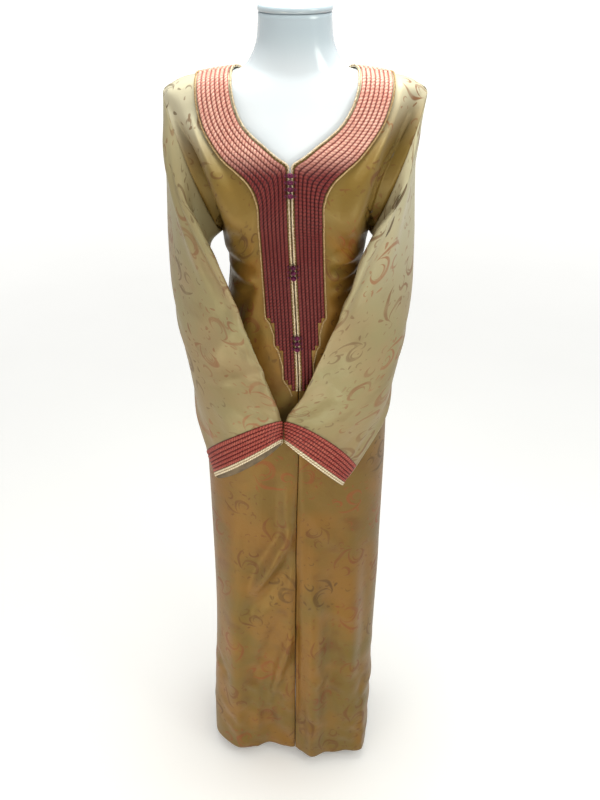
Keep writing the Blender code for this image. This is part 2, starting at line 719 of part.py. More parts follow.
def form_section(section):
    points = []
    for i in range(FORM_SIDES):
        turn = 2 * math.pi * i / FORM_SIDES
        x = math.copysign(abs(math.cos(turn))**(2 / section.square), math.cos(turn)) * section.half
        y = math.copysign(abs(math.sin(turn))**(2 / section.square), math.sin(turn))
        y *= section.back if y > 0 else section.front
        points.append(Vector((x + section.middle, y, section.z)))
    return points


def loft(name, rings, look):
    """A closed solid through rings of the same count, with flat ends."""
    count = len(rings[0])
    faces = [tuple(range(count)), tuple(range((len(rings) - 1) * count, len(rings) * count))]
    for j in range(len(rings) - 1):
        for i in range(count):
            k = (i + 1) % count
            faces.append((j * count + i, j * count + k, (j + 1) * count + k, (j + 1) * count + i))
    return make_object(name, [p for ring in rings for p in ring], faces, look)


def make_form():
    loft("form_torso", [form_section(section) for section in FORM], GLOSS_WHITE)
    neck = FORM[-1]
    rings = []
    for rise, share in ((SEAM, 1.02), (CAP_RISE * 0.6, 1.02), (CAP_RISE, 0.90)):
        rings.append(form_section(neck._replace(
            z=neck.z + rise, half=neck.half * share, front=neck.front * share, back=neck.back * share)))
    loft("form_neck_cap", rings, GLOSS_WHITE)


def turned(name, radius, low, high, middle_y, bevel, look):
    """An upright round piece with a softened rim."""
    bpy.ops.mesh.primitive_cylinder_add(vertices=32, radius=radius, depth=high - low,
                                        location=(0, middle_y, (low + high) / 2))
    piece = bpy.context.object
    piece.name = piece.data.name = name
    if bevel:
        rim = piece.modifiers.new("rim", "BEVEL")
        rim.width = bevel
        rim.segments = 1
    piece.data.materials.append(material(name, look))
    for home in list(piece.users_collection):
        home.objects.unlink(piece)
    kaftan.objects.link(piece)


def make_stand():
    turned("stand_base", BASE_RADIUS, 0.0, BASE_THICK, BASE_MIDDLE_Y, 0.002, STEEL)
    pole_foot = BASE_THICK + SEAM
    pole_top = FORM[0].z - COLLAR_HEIGHT - 2 * SEAM
    turned("stand_pole", POLE_RADIUS, pole_foot, pole_top, 0.0, 0.0, STEEL)
    turned("stand_collar", COLLAR_RADIUS, pole_top + SEAM, FORM[0].z - SEAM, 0.0, 0.002, STEEL)


clear_scene()
kaftan = bpy.data.collections.new("kaftan_on_dress_form")
bpy.context.scene.collection.children.link(kaftan)
front_paths = make_fronts()
make_gold_cords(front_paths, *make_back())
make_sleeves()
make_buttons([front_paths[side][2] for side in front_paths])
make_form()
make_stand()
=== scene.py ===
"""The looks of a kaftan on a dress form: brocade satin, plaited cords, knot buttons and a glossy form."""
import math
from bisect import bisect_right
from collections import namedtuple

import bmesh
import bpy
import numpy as np
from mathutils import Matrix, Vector


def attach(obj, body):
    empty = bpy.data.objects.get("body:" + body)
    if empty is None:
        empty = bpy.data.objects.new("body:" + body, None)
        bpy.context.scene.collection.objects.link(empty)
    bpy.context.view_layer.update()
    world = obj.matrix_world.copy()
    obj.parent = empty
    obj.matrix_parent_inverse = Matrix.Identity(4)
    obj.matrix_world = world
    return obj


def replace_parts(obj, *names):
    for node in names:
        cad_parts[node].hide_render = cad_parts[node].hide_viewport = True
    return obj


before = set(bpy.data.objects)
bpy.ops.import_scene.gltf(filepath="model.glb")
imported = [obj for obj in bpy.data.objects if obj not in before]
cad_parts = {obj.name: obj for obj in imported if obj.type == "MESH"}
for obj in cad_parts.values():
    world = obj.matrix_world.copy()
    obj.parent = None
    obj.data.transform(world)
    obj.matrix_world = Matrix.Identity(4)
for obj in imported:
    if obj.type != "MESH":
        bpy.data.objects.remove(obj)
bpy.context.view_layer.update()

# Sizes shared with the solids, in metres
SEAM = 0.0003           # gap between pieces that are sewn together
LAID = 0.0005           # gap under trim that lies on a panel
HEM = 0.030             # height of the hem above the floor
EDGE_CORD = 0.0045      # strip that the gold edge cord takes on the neck and centre front
PIPING = 0.0045         # strip that the gold piping takes outside the braids
CORD_PITCH = 0.0064     # one braid of the plastron
NECK_PITCH = 0.0070     # one braid at the shoulders
CORDS = 7               # braids side by side round the neck
BRAID_HEIGHT = 0.0032   # braid on its ridges
BUTTON = 0.0046         # radius of a knot button
CUFF_CORDS = 6
CUFF_EDGE = 0.16        # share of the cuff band that its gold edge takes
BACK_COLUMNS = 16
SIDE_COLUMNS = 5
TRIM_LINES = CORDS + 3  # lines on a panel that its trims follow

# Sizes of the looks
SHELL = 0.0012          # thickness of the cloth that shows
CLOTH_STEP = 0.0045     # spacing of the cloth's points
CORD_STEP = 0.0011      # spacing of points along a braid
CORD_ACROSS = 6         # stretches across one braid
PLY_PITCH = 0.0056      # length of one ply along a braid
SLEEVE_ROUND = 72       # points round a sleeve
EDGE_LINE = 0.22        # share of the edge strip that the looped cord's middle is in from the edge
FORM_ROUND = 112        # points round the form
CAP_PROFILE = (         # the neck cap's side: height over its seam, and how far in it is
    (0.0, 0.0014), (0.0012, -0.0004), (0.0050, -0.0009), (0.0085, -0.0002),
    (0.0106, 0.0022), (0.0116, 0.0060), (0.0119, 0.0110),
)
FORM_LEVELS = 120
SLEEVE_GIRTH = 0.36     # what one turn round a sleeve counts as where its folds are placed
FORM_CLEAR = 0.002      # room kept between the form and a trough in the cloth
WALL_CLEAR = 0.0006     # room kept between two walls of a sleeve
WALL_ROWS = 12          # rows up and down in which a sleeve looks for its other wall
PUCKERS = 15            # small gathers above each cuff
V_POINT = 1.352         # height where the neck edges meet and the fold of the centre edge starts
FOLD_START = 0.010      # height over which that fold comes in
LIP_DROP = 0.0007       # how far the fold's lip and its inner edge lie under the cloth
FOLD_DROP = 0.0022

# The worn shape: level sections through the body of the kaftan
Section = namedtuple("Section", "z half middle front back square")
BODY = (
    Section(0.030, 0.176, -0.013, 0.101, 0.168, 3.6),
    Section(0.400, 0.170, -0.003, 0.112, 0.150, 3.0),
    Section(0.660, 0.170, 0.000, 0.115, 0.140, 2.8),
    Section(0.820, 0.171, 0.000, 0.118, 0.130, 2.6),
    Section(0.920, 0.168, 0.000, 0.117, 0.122, 2.5),
    Section(1.000, 0.150, 0.000, 0.108, 0.108, 2.3),
    Section(1.080, 0.126, 0.000, 0.097, 0.092, 2.2),
    Section(1.159, 0.114, 0.000, 0.091, 0.079, 2.2),
    Section(1.215, 0.124, 0.000, 0.101, 0.084, 2.3),
    Section(1.270, 0.152, 0.000, 0.121, 0.094, 2.4),
    Section(1.330, 0.182, 0.000, 0.108, 0.101, 2.6),
    Section(1.390, 0.211, 0.000, 0.084, 0.094, 2.6),
    Section(1.430, 0.214, 0.000, 0.071, 0.080, 2.4),
    Section(1.449, 0.209, 0.000, 0.065, 0.074, 2.3),
    Section(1.466, 0.182, 0.000, 0.060, 0.068, 2.1),
    Section(1.475, 0.152, 0.000, 0.057, 0.065, 2.0),
    Section(1.482, 0.098, 0.000, 0.055, 0.063, 2.0),
    Section(1.498, 0.0745, 0.000, 0.054, 0.061, 2.0),
    Section(1.530, 0.0594, 0.000, 0.050, 0.058, 2.0),
)
SHOULDER_TOP = 1.530    # above this the neck is upright
SHOULDER_TIP = 1.449

# The dress form inside it
FORM = (
    Section(0.800, 0.122, 0.000, 0.080, 0.092, 2.3),
    Section(0.815, 0.138, 0.000, 0.088, 0.102, 2.3),
    Section(0.880, 0.150, 0.000, 0.094, 0.108, 2.3),
    Section(0.960, 0.143, 0.000, 0.090, 0.101, 2.2),
    Section(1.060, 0.112, 0.000, 0.080, 0.080, 2.1),
    Section(1.140, 0.101, 0.000, 0.076, 0.067, 2.1),
    Section(1.210, 0.110, 0.000, 0.088, 0.073, 2.2),
    Section(1.270, 0.127, 0.000, 0.112, 0.084, 2.2),
    Section(1.330, 0.150, 0.000, 0.099, 0.090, 2.3),
    Section(1.390, 0.1760, 0.000, 0.077, 0.0850, 2.4),
    Section(1.425, 0.1950, 0.000, 0.065, 0.0715, 2.3),
    Section(1.4433, 0.1990, 0.000, 0.060, 0.0650, 2.2),
    Section(1.4613, 0.1760, 0.000, 0.055, 0.0595, 2.1),
    Section(1.4708, 0.1470, 0.000, 0.052, 0.0570, 2.0),
    Section(1.4780, 0.0940, 0.000, 0.050, 0.0555, 2.0),
    Section(1.4960, 0.0720, 0.000, 0.049, 0.0560, 2.0),
    Section(1.5300, 0.0594, 0.000, 0.047, 0.056, 2.0),
    Section(1.5650, 0.0570, 0.000, 0.046, 0.056, 2.0),
)

# Where the two fronts meet, which sways a little
Centre = namedtuple("Centre", "z x")
CENTRE = (
    Centre(0.030, -0.004),
    Centre(0.415, -0.002),
    Centre(0.690, 0.001),
    Centre(0.820, 0.005),
    Centre(0.965, 0.005),
    Centre(1.060, 0.002),
    Centre(1.190, -0.004),
    Centre(1.350, -0.0078),
    Centre(1.482, 0.000),
)

# Rows of a front panel, from the shoulder seam down: the neck or centre edge, the outer edge of the
# braids, and the armhole or side seam. Halves are measured from the centre line.
FrontRow = namedtuple("FrontRow", "edge_half edge_z band_half band_z side_z cords")
FRONT_ROWS = (
    FrontRow(0.0980, 1.4820, 0.1520, 1.4750, 1.449, 7),
    FrontRow(0.0975, 1.4785, 0.1515, 1.4670, 1.442, 7),
    FrontRow(0.0965, 1.4655, 0.1500, 1.4510, 1.422, 7),
    FrontRow(0.0925, 1.4470, 0.1455, 1.4300, 1.395, 7),
    FrontRow(0.0860, 1.4300, 0.1375, 1.4080, 1.368, 7),
    FrontRow(0.0760, 1.4130, 0.1230, 1.3850, 1.338, 7),
    FrontRow(0.0610, 1.3980, 0.1035, 1.3620, 1.305, 7),
    FrontRow(0.0420, 1.3835, 0.0830, 1.3460, 1.270, 7),
    FrontRow(0.0215, 1.3680, 0.0650, 1.3300, 1.240, 7),
    FrontRow(0.0015, 1.3530, 0.0540, 1.3120, 1.218, 7),
    FrontRow(0.0015, 1.3250, 0.0495, 1.2920, 1.192, 7),
    FrontRow(0.0015, 1.2850, 0.0493, 1.2650, 1.170, 7),
    FrontRow(0.0015, 1.2420, 0.0493, 1.2300, 1.150, 7),
    FrontRow(0.0015, 1.1950, 0.0493, 1.1900, 1.130, 7),
    FrontRow(0.0015, 1.1450, 0.0493, 1.1430, 1.110, 7),
    FrontRow(0.0015, 1.0940, 0.0493, 1.0940, 1.088, 7),
    FrontRow(0.0015, 1.0860, 0.0493, 1.0860, 1.078, 6),
    FrontRow(0.0015, 1.0650, 0.0493, 1.0650, 1.060, 5),
    FrontRow(0.0015, 1.0460, 0.0493, 1.0460, 1.042, 5),
    FrontRow(0.0015, 1.0380, 0.0493, 1.0380, 1.030, 4),
    FrontRow(0.0015, 1.0120, 0.0493, 1.0120, 1.008, 3),
    FrontRow(0.0015, 0.9850, 0.0493, 0.9850, 0.985, 3),
    FrontRow(0.0015, 0.9760, 0.0493, 0.9760, 0.972, 2),
    FrontRow(0.0015, 0.9650, 0.0493, 0.9650, 0.955, 1),
    FrontRow(0.0016, 0.9200, 0.0520, 0.9200, 0.915, 0),
    FrontRow(0.0017, 0.8600, 0.0560, 0.8600, 0.860, 0),
    FrontRow(0.0018, 0.7800, 0.0600, 0.7800, 0.780, 0),
    FrontRow(0.0020, 0.6700, 0.0640, 0.6700, 0.670, 0),
    FrontRow(0.0020, 0.5400, 0.0680, 0.5400, 0.540, 0),
    FrontRow(0.0020, 0.4000, 0.0710, 0.4000, 0.400, 0),
    FrontRow(0.0020, 0.2700, 0.0740, 0.2700, 0.270, 0),
    FrontRow(0.0020, 0.1400, 0.0760, 0.1400, 0.140, 0),
    FrontRow(0.0020, HEM, 0.0780, HEM, HEM, 0),
)
TIP_ROW = 23            # last row with a braid
BAND_ROWS = TIP_ROW + 2     # rows that the trims reach

# The armhole is an oval that leans in towards the armpit
ARMHOLE_TOP = Vector((0.209, 0.0, SHOULDER_TIP))
ARMPIT = Vector((0.125, 0.0, 1.218))
ARMHOLE_MIDDLE = (ARMHOLE_TOP + ARMPIT) / 2
ARMHOLE_HALF = (ARMHOLE_TOP - ARMPIT) / 2
ARMHOLE_DEPTH = 0.058

# Rows of the back panel below its braids: the armhole or side seam, and the centre back
BackRow = namedtuple("BackRow", "side_z centre_z")
BACK_ROWS = (
    BackRow(1.449, 1.362),
    BackRow(1.412, 1.342),
    BackRow(1.372, 1.318),
    BackRow(1.331, 1.292),
    BackRow(1.290, 1.266),
    BackRow(1.250, 1.242),
    BackRow(1.218, 1.216),
    BackRow(1.170, 1.170),
    BackRow(1.110, 1.110),
    BackRow(1.050, 1.050),
    BackRow(0.985, 0.985),
    BackRow(0.910, 0.910),
    BackRow(0.820, 0.820),
    BackRow(0.700, 0.700),
    BackRow(0.560, 0.560),
    BackRow(0.420, 0.420),
    BackRow(0.280, 0.280),
    BackRow(0.150, 0.150),
    BackRow(HEM, HEM),
)
BACK_NECK = 1.444       # centre back of the neck edge
NECK_HALF = 0.098       # neck edge on the shoulder seam

# The skirt's largest folds: middle, half width and height at the hem, and where each one fades out
Fold = namedtuple("Fold", "x half_width height top")
FRONT_FOLDS = (
    Fold(-0.112, 0.030, 0.012, 0.62),
    Fold(-0.062, 0.024, -0.012, 0.50),
    Fold(0.036, 0.028, 0.030, 0.66),
    Fold(0.096, 0.030, 0.020, 0.55),
    Fold(0.148, 0.026, 0.050, 0.45),
)
BACK_FOLDS = (
    Fold(-0.115, 0.030, 0.012, 0.80),
    Fold(-0.055, 0.026, -0.013, 0.70),
    Fold(0.005, 0.032, 0.014, 0.90),
    Fold(0.062, 0.026, -0.012, 0.66),
    Fold(0.112, 0.028, 0.011, 0.76),
)

# Rings of a sleeve from the armhole to the cuff, each through its four fold lines.
# The last two rows are the top and the mouth of the cuff band. X is outwards from the centre.
Ring = namedtuple("Ring", "over front under back")
RIGHT_SLEEVE = (
    Ring((0.2125, -0.001, 1.388), (0.1790, -0.074, 1.290), (0.1400, -0.004, 1.209), (0.1840, 0.066, 1.298)),
    Ring((0.2120, -0.006, 1.318), (0.1620, -0.087, 1.245), (0.1480, -0.008, 1.196), (0.1900, 0.069, 1.262)),
    Ring((0.2100, -0.014, 1.250), (0.1370, -0.096, 1.195), (0.1500, -0.016, 1.170), (0.1960, 0.065, 1.220)),
    Ring((0.2060, -0.026, 1.180), (0.1120, -0.104, 1.142), (0.1460, -0.028, 1.132), (0.2000, 0.053, 1.168)),
    Ring((0.1960, -0.045, 1.105), (0.0870, -0.113, 1.080), (0.1420, -0.048, 1.072), (0.2010, 0.034, 1.105)),
    Ring((0.1760, -0.072, 1.034), (0.0610, -0.124, 1.018), (0.1400, -0.077, 0.998), (0.1965, 0.008, 1.035)),
    Ring((0.1500, -0.104, 0.978), (0.0400, -0.135, 0.967), (0.1280, -0.104, 0.935), (0.1880, -0.022, 0.960)),
    Ring((0.1220, -0.138, 0.936), (0.0280, -0.142, 0.936), (0.1100, -0.122, 0.892), (0.1790, -0.058, 0.885)),
    Ring((0.0980, -0.152, 0.900), (0.0244, -0.143, 0.920), (0.0980, -0.126, 0.868), (0.1640, -0.090, 0.824)),
    Ring((0.0890, -0.155, 0.842), (0.0244, -0.141, 0.876), (0.0880, -0.128, 0.812), (0.1480, -0.104, 0.776)),
)
LEFT_SLEEVE = (
    Ring((0.1985, -0.001, 1.388), (0.1680, -0.074, 1.290), (0.1340, -0.004, 1.208), (0.1760, 0.066, 1.298)),
    Ring((0.1955, -0.006, 1.318), (0.1420, -0.087, 1.245), (0.1370, -0.008, 1.193), (0.1790, 0.069, 1.262)),
    Ring((0.1925, -0.014, 1.250), (0.1160, -0.097, 1.195), (0.1380, -0.018, 1.165), (0.1830, 0.065, 1.220)),
    Ring((0.1900, -0.026, 1.180), (0.0960, -0.106, 1.142), (0.1380, -0.032, 1.125), (0.1870, 0.053, 1.168)),
    Ring((0.1830, -0.045, 1.105), (0.0640, -0.116, 1.080), (0.1400, -0.052, 1.068), (0.1870, 0.034, 1.105)),
    Ring((0.1640, -0.074, 1.034), (0.0360, -0.128, 1.018), (0.1380, -0.080, 0.998), (0.1850, 0.006, 1.035)),
    Ring((0.1340, -0.108, 0.976), (0.0120, -0.140, 0.967), (0.1200, -0.110, 0.935), (0.1780, -0.030, 0.962)),
    Ring((0.0940, -0.143, 0.934), (-0.0080, -0.147, 0.934), (0.0920, -0.128, 0.892), (0.1590, -0.080, 0.888)),
    Ring((0.050, -0.158, 0.895), (-0.0174, -0.148, 0.9215), (0.052, -0.134, 0.870), (0.1110, -0.116, 0.808)),
    Ring((0.034, -0.160, 0.838), (-0.0174, -0.146, 0.8785), (0.034, -0.137, 0.822), (0.0850, -0.125, 0.772)),
)
RING_SQUARE = 2.4       # how blunt the folds of a flattened sleeve are

# Buttons: height of the top one of each group and how many it has
ButtonGroup = namedtuple("ButtonGroup", "top_z count")
BUTTON_GROUPS = (ButtonGroup(1.341, 4), ButtonGroup(1.190, 3), ButtonGroup(1.062, 3))
BUTTON_PITCH = 0.0098
BUTTON_LIFT = 0.0079

# The loops that hold the knots: where they start at the side and how far they reach, their height over
# the panels and how much it dips, their half width and their thread
KnotLoop = namedtuple("KnotLoop", "start reach height dip half_width radius")
KNOT_LOOP = KnotLoop(0.0022, 0.0070, 0.0060, 0.0019, 0.0020, 0.00062)

# Gold cords: height of the middle over the gap under the trim, radius, and one turn of the plies
GoldCord = namedtuple("GoldCord", "rise radius pitch")
EDGE_CORE = GoldCord(0.0012, 0.0013, 0.0036)
PIPING_CORE = GoldCord(0.0013, 0.0014, 0.0050)
LOOP_REACH = 0.0024
LOOP_PITCH = 0.0024
LOOP_THREAD = 0.00050
GOLD_STEP = 0.0010      # spacing of points along a gold cord

# Cloth and trim colours
# The pale colour is a painted highlight that comes in from the low height to the high one; a slant above 0
# raises both to the left side, painting that side darker
Ground = namedtuple("Ground", "olive amber umber pale lustre red brown low high slant")
BODY_GROUND = Ground(
    olive=(0.132, 0.080, 0.015), amber=(0.192, 0.088, 0.014), umber=(0.104, 0.036, 0.006),
    pale=(0.450, 0.420, 0.310), lustre=(1.0, 0.84, 0.42, 1.0), red=(0.200, 0.044, 0.013),
    brown=(0.054, 0.023, 0.006), low=1.33, high=1.45, slant=0.12)
# The sleeves' ground is a paler, greener copy of the body's: painted sheen where the sleeves face the
# overhead light
SLEEVE_LIT_GROUND = Ground(
    olive=(0.226, 0.177, 0.080), amber=(0.246, 0.170, 0.080), umber=(0.184, 0.120, 0.050),
    pale=(0.450, 0.405, 0.270), lustre=(0.86, 1.0, 0.72, 1.0), red=(0.270, 0.084, 0.034),
    brown=(0.104, 0.060, 0.024), low=1.10, high=1.45, slant=-0.50)
FIGURE_STRENGTH = 0.85
FIGURE_CELL = 0.104
SPRIG_CELL = 0.050
SATIN_ROUGH = 0.44
SATIN_IOR = 1.56
THREAD_IOR = 1.30
SHOULDER_HIGHLIGHT_SHARE = 0.85   # how far the ground turns pale (painted highlight), umber (random stain, and painted shadow under the cuffs) or olive (painted shade on the bust) in each region
CUFF_SHADOW_SHARE = 0.30
BUST_SHADE_SHARE = 0.8
STAIN_SHARE = 0.7
CUFF_SHADOW_RISE = (0.34, 0.66)     # heights over which each band of painted light and shade comes in or goes
CUFF_SHADOW_FALL = (0.84, 1.00)
BUST_SHADE_RISE = (1.20, 1.29)
BRAID_LIGHT_RISE = (1.338, 1.385)
NECK_SHADE_RISE = (1.45, 1.55)
FIGURE_WAVER = 0.011    # how far the woven figures' outlines waver
LINING_DARK = (0.075, 0.048, 0.020)
LINING_PALE = (0.140, 0.095, 0.042)
# A thread's colours: painted shade in the grooves between plies, the plies' crest, and a paler painted glint
Thread = namedtuple("Thread", "groove crest glint")
# Braid colours low down, and a lit copy painted on towards the shoulders
BRAID_DARK = Thread((0.028, 0.003, 0.004), (0.105, 0.007, 0.008), (0.185, 0.034, 0.026))
BRAID_PAINTED_LIT = Thread((0.200, 0.044, 0.036), (0.520, 0.215, 0.160), (0.720, 0.470, 0.370))
CUFF_THREAD = Thread((0.070, 0.004, 0.005), (0.235, 0.022, 0.018), (0.400, 0.120, 0.080))
GOLD_MID = (0.260, 0.150, 0.060)
GOLD_PALE = (0.440, 0.310, 0.150)
LOOP_MID = (0.420, 0.300, 0.180)
LOOP_PALE = (0.720, 0.600, 0.420)
CREAM = Thread((0.260, 0.190, 0.110), (0.520, 0.420, 0.270), (0.820, 0.740, 0.560))
KNOT_DARK = (0.035, 0.004, 0.018)
KNOT_PALE = (0.150, 0.012, 0.058)
FORM_WHITE = (0.61, 0.63, 0.65)
FORM_SHADE = (0.57, 0.60, 0.63)
# The neck's top: painted shade, darker and bluer
FORM_NECK_SHADE = (0.32, 0.375, 0.41)
STEEL_DARK = (0.46, 0.47, 0.49)
STEEL_PALE = (0.62, 0.63, 0.65)
FLOOR_LOW = (0.92, 0.905, 0.88)
FLOOR_HIGH = (0.95, 0.935, 0.91)

# Camera, lights and room
CAMERA_PLACE = (0.0075, -1.482, 1.737)
CAMERA_TILT = 60.0
CAMERA_LENS = 40.5
Light = namedtuple("Light", "name place aim size power colour")
LIGHTS = (
    Light("overhead", (0.04, 0.02, 2.08), (0.0, 0.0, 1.40), 0.6, 16.0, (0.98, 1.0, 0.95)),
    Light("key", (1.3, -1.1, 1.9), (0.0, -0.05, 0.95), 0.7, 7.0, (0.97, 1.0, 0.90)),
    Light("fill", (0.20, -0.72, 1.04), (0.07, -0.06, 1.16), 0.3, 1.6, (0.99, 1.0, 0.92)),
    Light("low_side", (-0.9, -1.3, 0.36), (0.0, 0.0, 0.16), 0.6, 7.5, (1.0, 0.84, 0.60)),
)
SKY_TOP = (0.98, 1.02, 1.04)
SKY_EDGE = (0.13, 0.115, 0.10)
SKY_FALL = 2.0          # how quickly the sky darkens away from overhead
WALL = (0.74, 0.75, 0.76)
WALL_LEVELS = (0.50, 0.24)  # upward part of a direction where the wall starts and where it is full
FLOOR_HALF = 60.0
FLOOR_GLOW = 0.40       # light of the far backdrop
FLOOR_BASE = 0.21       # light of the floor by the hem

# A crease is a soft ridge along a bent line, or a trough where its depth is below 0
Crease = namedtuple("Crease", "start bend end width depth")
CREASE_STEPS = 12       # straight stretches that its bent line is followed in

# Folds of the fronts, placed in the front view
RIGHT_FRONT_CREASES = (
    Crease((-0.008, 0.665), (-0.036, 0.590), (-0.084, 0.500), 0.013, 0.0130),
    Crease((-0.004, 0.590), (-0.036, 0.510), (-0.110, 0.430), 0.016, -0.0080),
    Crease((-0.006, 0.400), (-0.030, 0.300), (-0.060, 0.170), 0.011, 0.0120),
    Crease((-0.030, 0.440), (-0.060, 0.340), (-0.090, 0.240), 0.015, -0.0075),
    Crease((-0.016, 0.760), (-0.018, 0.690), (-0.014, 0.600), 0.012, 0.0045),
    Crease((-0.036, 0.800), (-0.046, 0.720), (-0.038, 0.650), 0.016, -0.0040),
    Crease((-0.118, 0.680), (-0.132, 0.400), (-0.128, 0.060), 0.020, 0.0050),
    Crease((-0.090, 0.520), (-0.104, 0.300), (-0.098, 0.080), 0.016, -0.0040),
    Crease((-0.196, 1.420), (-0.164, 1.318), (-0.124, 1.226), 0.020, -0.0290),
    Crease((-0.148, 1.400), (-0.118, 1.330), (-0.090, 1.250), 0.014, 0.0050),
    Crease((-0.092, 1.350), (-0.080, 1.300), (-0.072, 1.215), 0.015, 0.0032),
    Crease((-0.118, 1.190), (-0.092, 1.176), (-0.058, 1.172), 0.007, -0.0028),
    Crease((-0.116, 1.172), (-0.090, 1.158), (-0.060, 1.152), 0.007, 0.0026),
    Crease((-0.116, 1.150), (-0.090, 1.138), (-0.064, 1.138), 0.007, -0.0024),
    Crease((-0.060, 1.130), (-0.084, 1.060), (-0.130, 0.980), 0.012, 0.0036),
    Crease((-0.070, 1.150), (-0.108, 1.090), (-0.140, 1.030), 0.010, -0.0034),
    Crease((-0.030, 0.960), (-0.060, 0.900), (-0.120, 0.860), 0.013, 0.0036),
)
LEFT_FRONT_CREASES = (
    Crease((0.034, 0.620), (0.040, 0.350), (0.032, 0.045), 0.018, 0.0060),
    Crease((0.070, 0.540), (0.080, 0.320), (0.074, 0.120), 0.024, -0.0040),
    Crease((0.108, 0.660), (0.116, 0.400), (0.108, 0.080), 0.018, 0.0055),
    Crease((0.140, 0.600), (0.146, 0.380), (0.142, 0.120), 0.014, -0.0040),
    Crease((0.018, 0.720), (0.046, 0.650), (0.096, 0.600), 0.014, 0.0034),
    Crease((0.020, 0.500), (0.060, 0.440), (0.120, 0.420), 0.014, 0.0034),
    Crease((0.194, 1.440), (0.164, 1.335), (0.123, 1.224), 0.026, -0.0310),
    Crease((0.140, 1.410), (0.112, 1.330), (0.086, 1.250), 0.013, 0.0050),
    Crease((0.094, 1.345), (0.080, 1.290), (0.076, 1.210), 0.015, 0.0030),
    Crease((0.054, 1.138), (0.080, 1.136), (0.112, 1.152), 0.006, 0.0032),
    Crease((0.055, 1.122), (0.078, 1.118), (0.108, 1.132), 0.006, -0.0030),
    Crease((0.056, 1.198), (0.078, 1.186), (0.100, 1.196), 0.010, 0.0075),
    Crease((0.052, 1.166), (0.076, 1.158), (0.104, 1.170), 0.008, 0.0060),
    Crease((0.054, 1.106), (0.078, 1.098), (0.112, 1.106), 0.007, 0.0026),
    Crease((0.060, 1.090), (0.086, 1.030), (0.126, 0.960), 0.012, 0.0036),
    Crease((0.024, 0.950), (0.060, 0.900), (0.110, 0.880), 0.013, -0.0034),
)
CRUMPLES = 34           # small dents and rises in the lower skirt of each front
PLACKET_LEVELS = (0.860, 0.420, -0.060)     # heights of the groove where the fronts meet
PLACKET_HALF = 0.0065
PLACKET_DEPTH = 0.0050
BACK_CREASES = (
    Crease((0.020, 1.060), (0.034, 0.700), (0.020, 0.200), 0.024, 0.0070),
    Crease((-0.030, 1.040), (-0.050, 0.650), (-0.044, 0.060), 0.022, -0.0065),
    Crease((-0.086, 0.960), (-0.110, 0.560), (-0.104, 0.080), 0.022, 0.0060),
    Crease((0.074, 0.980), (0.092, 0.600), (0.086, 0.070), 0.020, -0.0060),
    Crease((0.120, 0.900), (0.142, 0.500), (0.130, 0.100), 0.018, 0.0050),
    Crease((-0.104, 1.178), (-0.070, 1.150), (-0.014, 1.146), 0.010, -0.0038),
    Crease((-0.098, 1.140), (-0.060, 1.122), (0.004, 1.128), 0.009, 0.0034),
    Crease((0.106, 1.172), (0.066, 1.156), (0.022, 1.136), 0.010, -0.0036),
    Crease((0.098, 1.124), (0.070, 1.116), (0.030, 1.108), 0.009, 0.0034),
    Crease((-0.092, 1.204), (-0.056, 1.184), (-0.030, 1.180), 0.008, 0.0028),
    Crease((0.104, 1.206), (0.078, 1.190), (0.040, 1.188), 0.009, 0.0028),
    Crease((-0.150, 1.400), (-0.140, 1.320), (-0.060, 1.250), 0.014, 0.0045),
    Crease((0.154, 1.405), (0.138, 1.310), (0.050, 1.240), 0.015, 0.0045),
    Crease((-0.166, 1.360), (-0.150, 1.290), (-0.100, 1.230), 0.012, -0.0045),
    Crease((0.168, 1.350), (0.150, 1.280), (0.110, 1.225), 0.012, -0.0048),
    Crease((-0.010, 1.360), (0.004, 1.290), (-0.006, 1.210), 0.020, -0.0035),
)

# Folds of the sleeves: distance down from the armhole, and round it from the overarm fold to the front,
# a whole turn being SLEEVE_GIRTH
RIGHT_SLEEVE_CREASES = (
    Crease((0.300, 0.078), (0.440, 0.072), (0.575, 0.058), 0.013, 0.0055),
    Crease((0.290, 0.050), (0.420, 0.046), (0.560, 0.030), 0.015, -0.0045),
    Crease((0.190, 0.112), (0.270, 0.070), (0.350, 0.010), 0.011, 0.0048),
    Crease((0.230, 0.118), (0.320, 0.090), (0.410, 0.050), 0.010, -0.0045),
    Crease((0.310, 0.130), (0.370, 0.060), (0.400, 0.000), 0.010, 0.0036),
    Crease((0.020, 0.030), (0.090, 0.040), (0.190, 0.048), 0.013, 0.0045),
    Crease((0.020, -0.030), (0.090, -0.036), (0.180, -0.046), 0.013, -0.0045),
    Crease((0.012, 0.088), (0.090, 0.092), (0.210, 0.094), 0.012, 0.0120),
    Crease((0.030, 0.058), (0.120, 0.062), (0.230, 0.066), 0.011, -0.0060),
    Crease((0.180, -0.120), (0.260, -0.080), (0.350, -0.030), 0.012, 0.0048),
    Crease((0.220, -0.130), (0.310, -0.100), (0.400, -0.060), 0.012, -0.0045),
    Crease((0.380, -0.120), (0.460, -0.080), (0.540, -0.070), 0.014, 0.0040),
    Crease((0.420, 0.010), (0.500, 0.000), (0.580, 0.006), 0.012, 0.0036),
    Crease((0.120, 0.150), (0.200, 0.150), (0.300, 0.160), 0.010, -0.0036),
)
